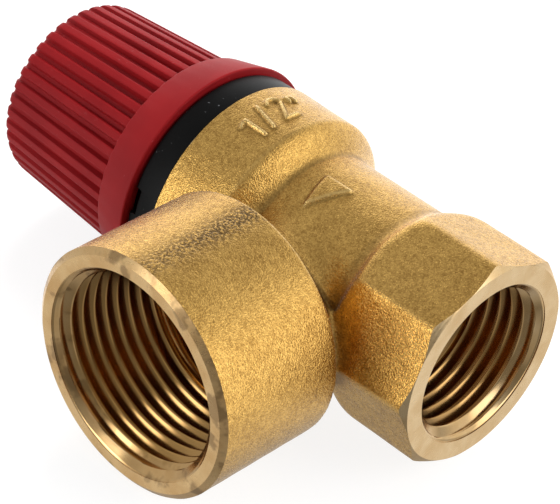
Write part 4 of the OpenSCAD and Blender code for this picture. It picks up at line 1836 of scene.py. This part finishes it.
class InnerParts:
    """The CAD nodes that stay as they are and get a finish each."""

    finishes: dict[str, Finish] = {
        "disc_washer": STEEL,
        "disc_screw": STEEL,
        "disc_holder": TURNED_INLET,
        "diaphragm_washer": STEEL,
        "slip_ring": STEEL,
        "spring_plate": STEEL,
        "stem_nut": STEEL,
        "stem": TURNED_INLET,
        "spring_washer": STEEL,
        "adjusting_nut": TURNED_INLET,
        "guide_bush": WHITE,
        "thrust_washer": STEEL,
        "knob_washer": STEEL,
        "knob_screw": STEEL,
    }

    def dress(self) -> None:
        """Gives every one of these nodes its material."""
        for name, finish in self.finishes.items():
            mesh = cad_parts[name].data
            mesh.materials.clear()
            mesh.materials.append(finish.material())
            log.info("%s: %s", name, finish.name)


@dataclass(frozen=True)
class Panel:
    """A lit or dark patch of the surroundings, by its angles from the camera's side and the level."""

    turn_deg: float
    half_deg: float
    low_deg: float
    high_deg: float
    level: float
    soft_deg: float = 8.0

    def share(self, across: Wire, height: Wire) -> Wire:
        """Share of the patch in a direction.

        Args:
            across: Cosine of the angle, on the level, between the direction and the patch's middle.
            height: Sine of the direction's angle above the level.

        Returns:
            One inside the patch, fading to nought at its edges.
        """
        edges_deg = (self.half_deg + side * self.soft_deg for side in (1, -1))
        wide, narrow = (math.cos(math.radians(edge_deg)) for edge_deg in edges_deg)
        aside = across.eased(wide, narrow)
        return aside * self.step(height, self.low_deg) * (1.0 - self.step(height, self.high_deg))

    def step(self, height: Wire, edge_deg: float) -> Wire:
        """Runs from nought below an angle above the level to one over it."""
        low, high = (math.sin(math.radians(edge_deg + side * self.soft_deg)) for side in (-1, 1))
        return height.eased(low, high)


@dataclass(frozen=True)
class Lamp:
    """A square soft lamp that no shiny surface mirrors."""

    name: str
    place_m: Place
    watts: float
    size_m: float = 0.4

    def hang(self, aim_m: Place) -> None:
        """Sets the lamp at its place, pointing at another.

        Args:
            aim_m: The place that it points at.
        """
        data = bpy.data.lights.new(self.name, "AREA")
        data.energy = self.watts
        data.size = self.size_m
        item = bpy.data.objects.new(self.name, data)
        bpy.context.scene.collection.objects.link(item)
        item.location = self.place_m
        item.rotation_mode = "QUATERNION"
        item.rotation_quaternion = (Vector(aim_m) - Vector(self.place_m)).to_track_quat("-Z", "Y")
        item.visible_glossy = False


@dataclass
class Studio:
    """Camera, pale floor, soft lamps and the surroundings that the brass mirrors."""

    image_width: int = 560
    focal_px: float = 2671.5
    sensor_mm: float = 36.0
    camera_mm: Place = (141.96, -197.23, 194.57)
    clip_m: float = 0.01
    azimuth_deg: float = 41.317
    elevation_deg: float = 37.053
    roll_deg: float = 6.354
    floor_mm: float = -15.9
    floor_half: float = 3.0
    floor_white: float = 0.9
    floor_shade: float = 0.98
    floor_tone_mm: float = 400.0
    floor_glow: float = 1.15
    glow_share: float = 0.74
    sky: float = 0.46
    ground: float = 0.42
    horizon: float = 0.05
    # Laid over the sky in this order
    panels: tuple[Panel, ...] = (
        Panel(turn_deg=175.0, half_deg=48.0, low_deg=-45.0, high_deg=26.0, level=1.4, soft_deg=12.0),
        Panel(turn_deg=118.0, half_deg=34.0, low_deg=0.0, high_deg=44.0, level=1.0, soft_deg=12.0),
        Panel(turn_deg=-165.0, half_deg=14.0, low_deg=-20.0, high_deg=30.0, level=1.8, soft_deg=8.0),
        Panel(turn_deg=-108.0, half_deg=14.0, low_deg=-30.0, high_deg=36.0, level=0.6, soft_deg=6.0),
        Panel(turn_deg=-85.0, half_deg=25.0, low_deg=-60.0, high_deg=-18.0, level=0.72, soft_deg=8.0),
        Panel(turn_deg=97.0, half_deg=35.0, low_deg=-58.0, high_deg=-15.0, level=0.9, soft_deg=10.0),
        Panel(turn_deg=0.0, half_deg=55.0, low_deg=-70.0, high_deg=26.0, level=0.22, soft_deg=8.0),
        Panel(turn_deg=6.0, half_deg=13.0, low_deg=-65.0, high_deg=3.0, level=0.44, soft_deg=5.0),
        Panel(turn_deg=-61.0, half_deg=11.0, low_deg=-14.0, high_deg=31.0, level=3.1, soft_deg=4.0),
        Panel(turn_deg=69.0, half_deg=14.0, low_deg=-16.0, high_deg=42.0, level=2.1, soft_deg=4.0),
    )
    lamps: tuple[Lamp, ...] = (
        Lamp("top_lamp", (-0.25, 0.35, 0.55), watts=4.8),
        Lamp("side_lamp", (0.5, 0.2, 0.35), watts=2.0),
        Lamp("front_lamp", (-0.55, -0.5, 0.08), watts=2.4),
    )
    aim_m: Place = (-0.03, -0.01, 0.0)

    def camera(self) -> None:
        """Sets the camera at the photograph's place: turned by azimuth and elevation, then rolled."""
        data = bpy.data.cameras.new("camera")
        data.sensor_width = self.sensor_mm
        data.lens = self.focal_px / self.image_width * self.sensor_mm
        data.clip_start = self.clip_m
        item = bpy.data.objects.new("camera", data)
        bpy.context.scene.collection.objects.link(item)
        turn = math.radians(self.azimuth_deg)
        lift = math.radians(self.elevation_deg)
        flat = math.cos(lift)
        back = Vector((math.sin(turn) * flat, -math.cos(turn) * flat, math.sin(lift)))
        level = Vector((math.cos(turn), math.sin(turn), 0.0))
        tilt = Matrix.Rotation(math.radians(self.roll_deg), 3, back)
        right = tilt @ level
        up = back.cross(right)
        spot = Vector(self.camera_mm) * MM
        rows = [(right[k], up[k], back[k], spot[k]) for k in range(3)]
        item.matrix_world = Matrix((*rows, (0.0, 0.0, 0.0, 1.0)))
        bpy.context.scene.camera = item

    def floor(self) -> None:
        """Lays a pale floor that keeps the valve's shadow and lets mirrored rays through."""
        half = self.floor_half
        level = self.floor_mm * MM
        sides = ((-half, -half), (half, -half), (half, half), (-half, half))
        corners = [(x, y, level) for x, y in sides]
        mesh = bpy.data.meshes.new("floor")
        mesh.from_pydata(corners, [], [(0, 1, 2, 3)])
        material = bpy.data.materials.new("pale_floor")
        material.use_nodes = True
        bench = Bench(material.node_tree)
        white = self.floor_white
        tone = bench.noise(bench.place(), self.floor_tone_mm)
        pale = bench.tint(tone, solid((white,) * 3), solid((white * self.floor_shade,) * 3))
        matt = bench.add("ShaderNodeBsdfDiffuse", {}, {"Color": pale})
        seen = bench.add("ShaderNodeLightPath", {}, {}, "Is Camera Ray")
        mirrored = Wire(bench, seen.socket.node.outputs["Is Glossy Ray"])
        glow = bench.add("ShaderNodeEmission", {}, {"Strength": self.floor_glow})
        mixed = bench.add("ShaderNodeMixShader", {}, {0: seen * self.glow_share, 1: matt, 2: glow})
        clear = bench.add("ShaderNodeBsdfTransparent", {}, {})
        mixed = bench.add("ShaderNodeMixShader", {}, {0: mirrored, 1: mixed, 2: clear})
        bench.add("ShaderNodeOutputMaterial", {}, {"Surface": mixed})
        mesh.materials.append(material)
        item = bpy.data.objects.new("floor", mesh)
        bpy.context.scene.collection.objects.link(item)

    def world(self) -> None:
        """A plain sky with the lit and dark patches laid over it in order."""
        world = bpy.data.worlds.new("studio")
        world.use_nodes = True
        bpy.context.scene.world = world
        bench = Bench(world.node_tree)
        direction = bench.add("ShaderNodeTexCoord", {}, {}, "Generated")
        x, y, height = bench.split(direction)
        level_length = (x * x + y * y).maths("SQRT")
        upper = height.eased(-self.horizon, self.horizon)
        sky = bench.tint(upper, solid((self.ground,) * 3), solid((self.sky,) * 3))
        for panel in self.panels:
            turn = math.radians(self.azimuth_deg + panel.turn_deg)
            across = (x * math.sin(turn) - y * math.cos(turn)) / level_length
            sky = bench.tint(panel.share(across, height), sky, solid((panel.level,) * 3))
        glow = bench.add("ShaderNodeBackground", {}, {"Color": sky, "Strength": 1.0})
        bench.add("ShaderNodeOutputWorld", {}, {"Surface": glow})

    def build(self) -> None:
        """Sets up everything round the valve."""
        bpy.context.scene.view_settings.view_transform = "Standard"
        self.camera()
        self.floor()
        self.world()
        for lamp in self.lamps:
            lamp.hang(self.aim_m)


def attach(piece: bpy.types.Object, body: str, node: str) -> None:
    """Lets a piece ride on a body and stand for a CAD node."""
    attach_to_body(piece, body)
    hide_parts(node)


def main() -> None:
    """Builds the studio and the valve's pieces in order."""
    logging.basicConfig(level=logging.INFO, format="%(message)s")
    Studio().build()
    skin = ForgedSkin()
    attach(skin.build(), "housing", "valve_body")
    attach(MainBore(skin).build(), "housing", "valve_body")
    attach(OutletBore(skin).build(), "housing", "valve_body")
    attach(Collar().build(), "housing", "bonnet")
    attach(SeatDisc().build(), "spindle", "seat_disc")
    Diaphragm().build()
    attach(Knob().build(), "test_knob", "knob")
    attach(EndCap().build(), "test_knob", "end_cap")
    spring = MainSpring()
    coil = spring.build()
    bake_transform(coil)
    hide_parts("spring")
    InnerParts().dress()


if __name__ == "__main__":
    main()
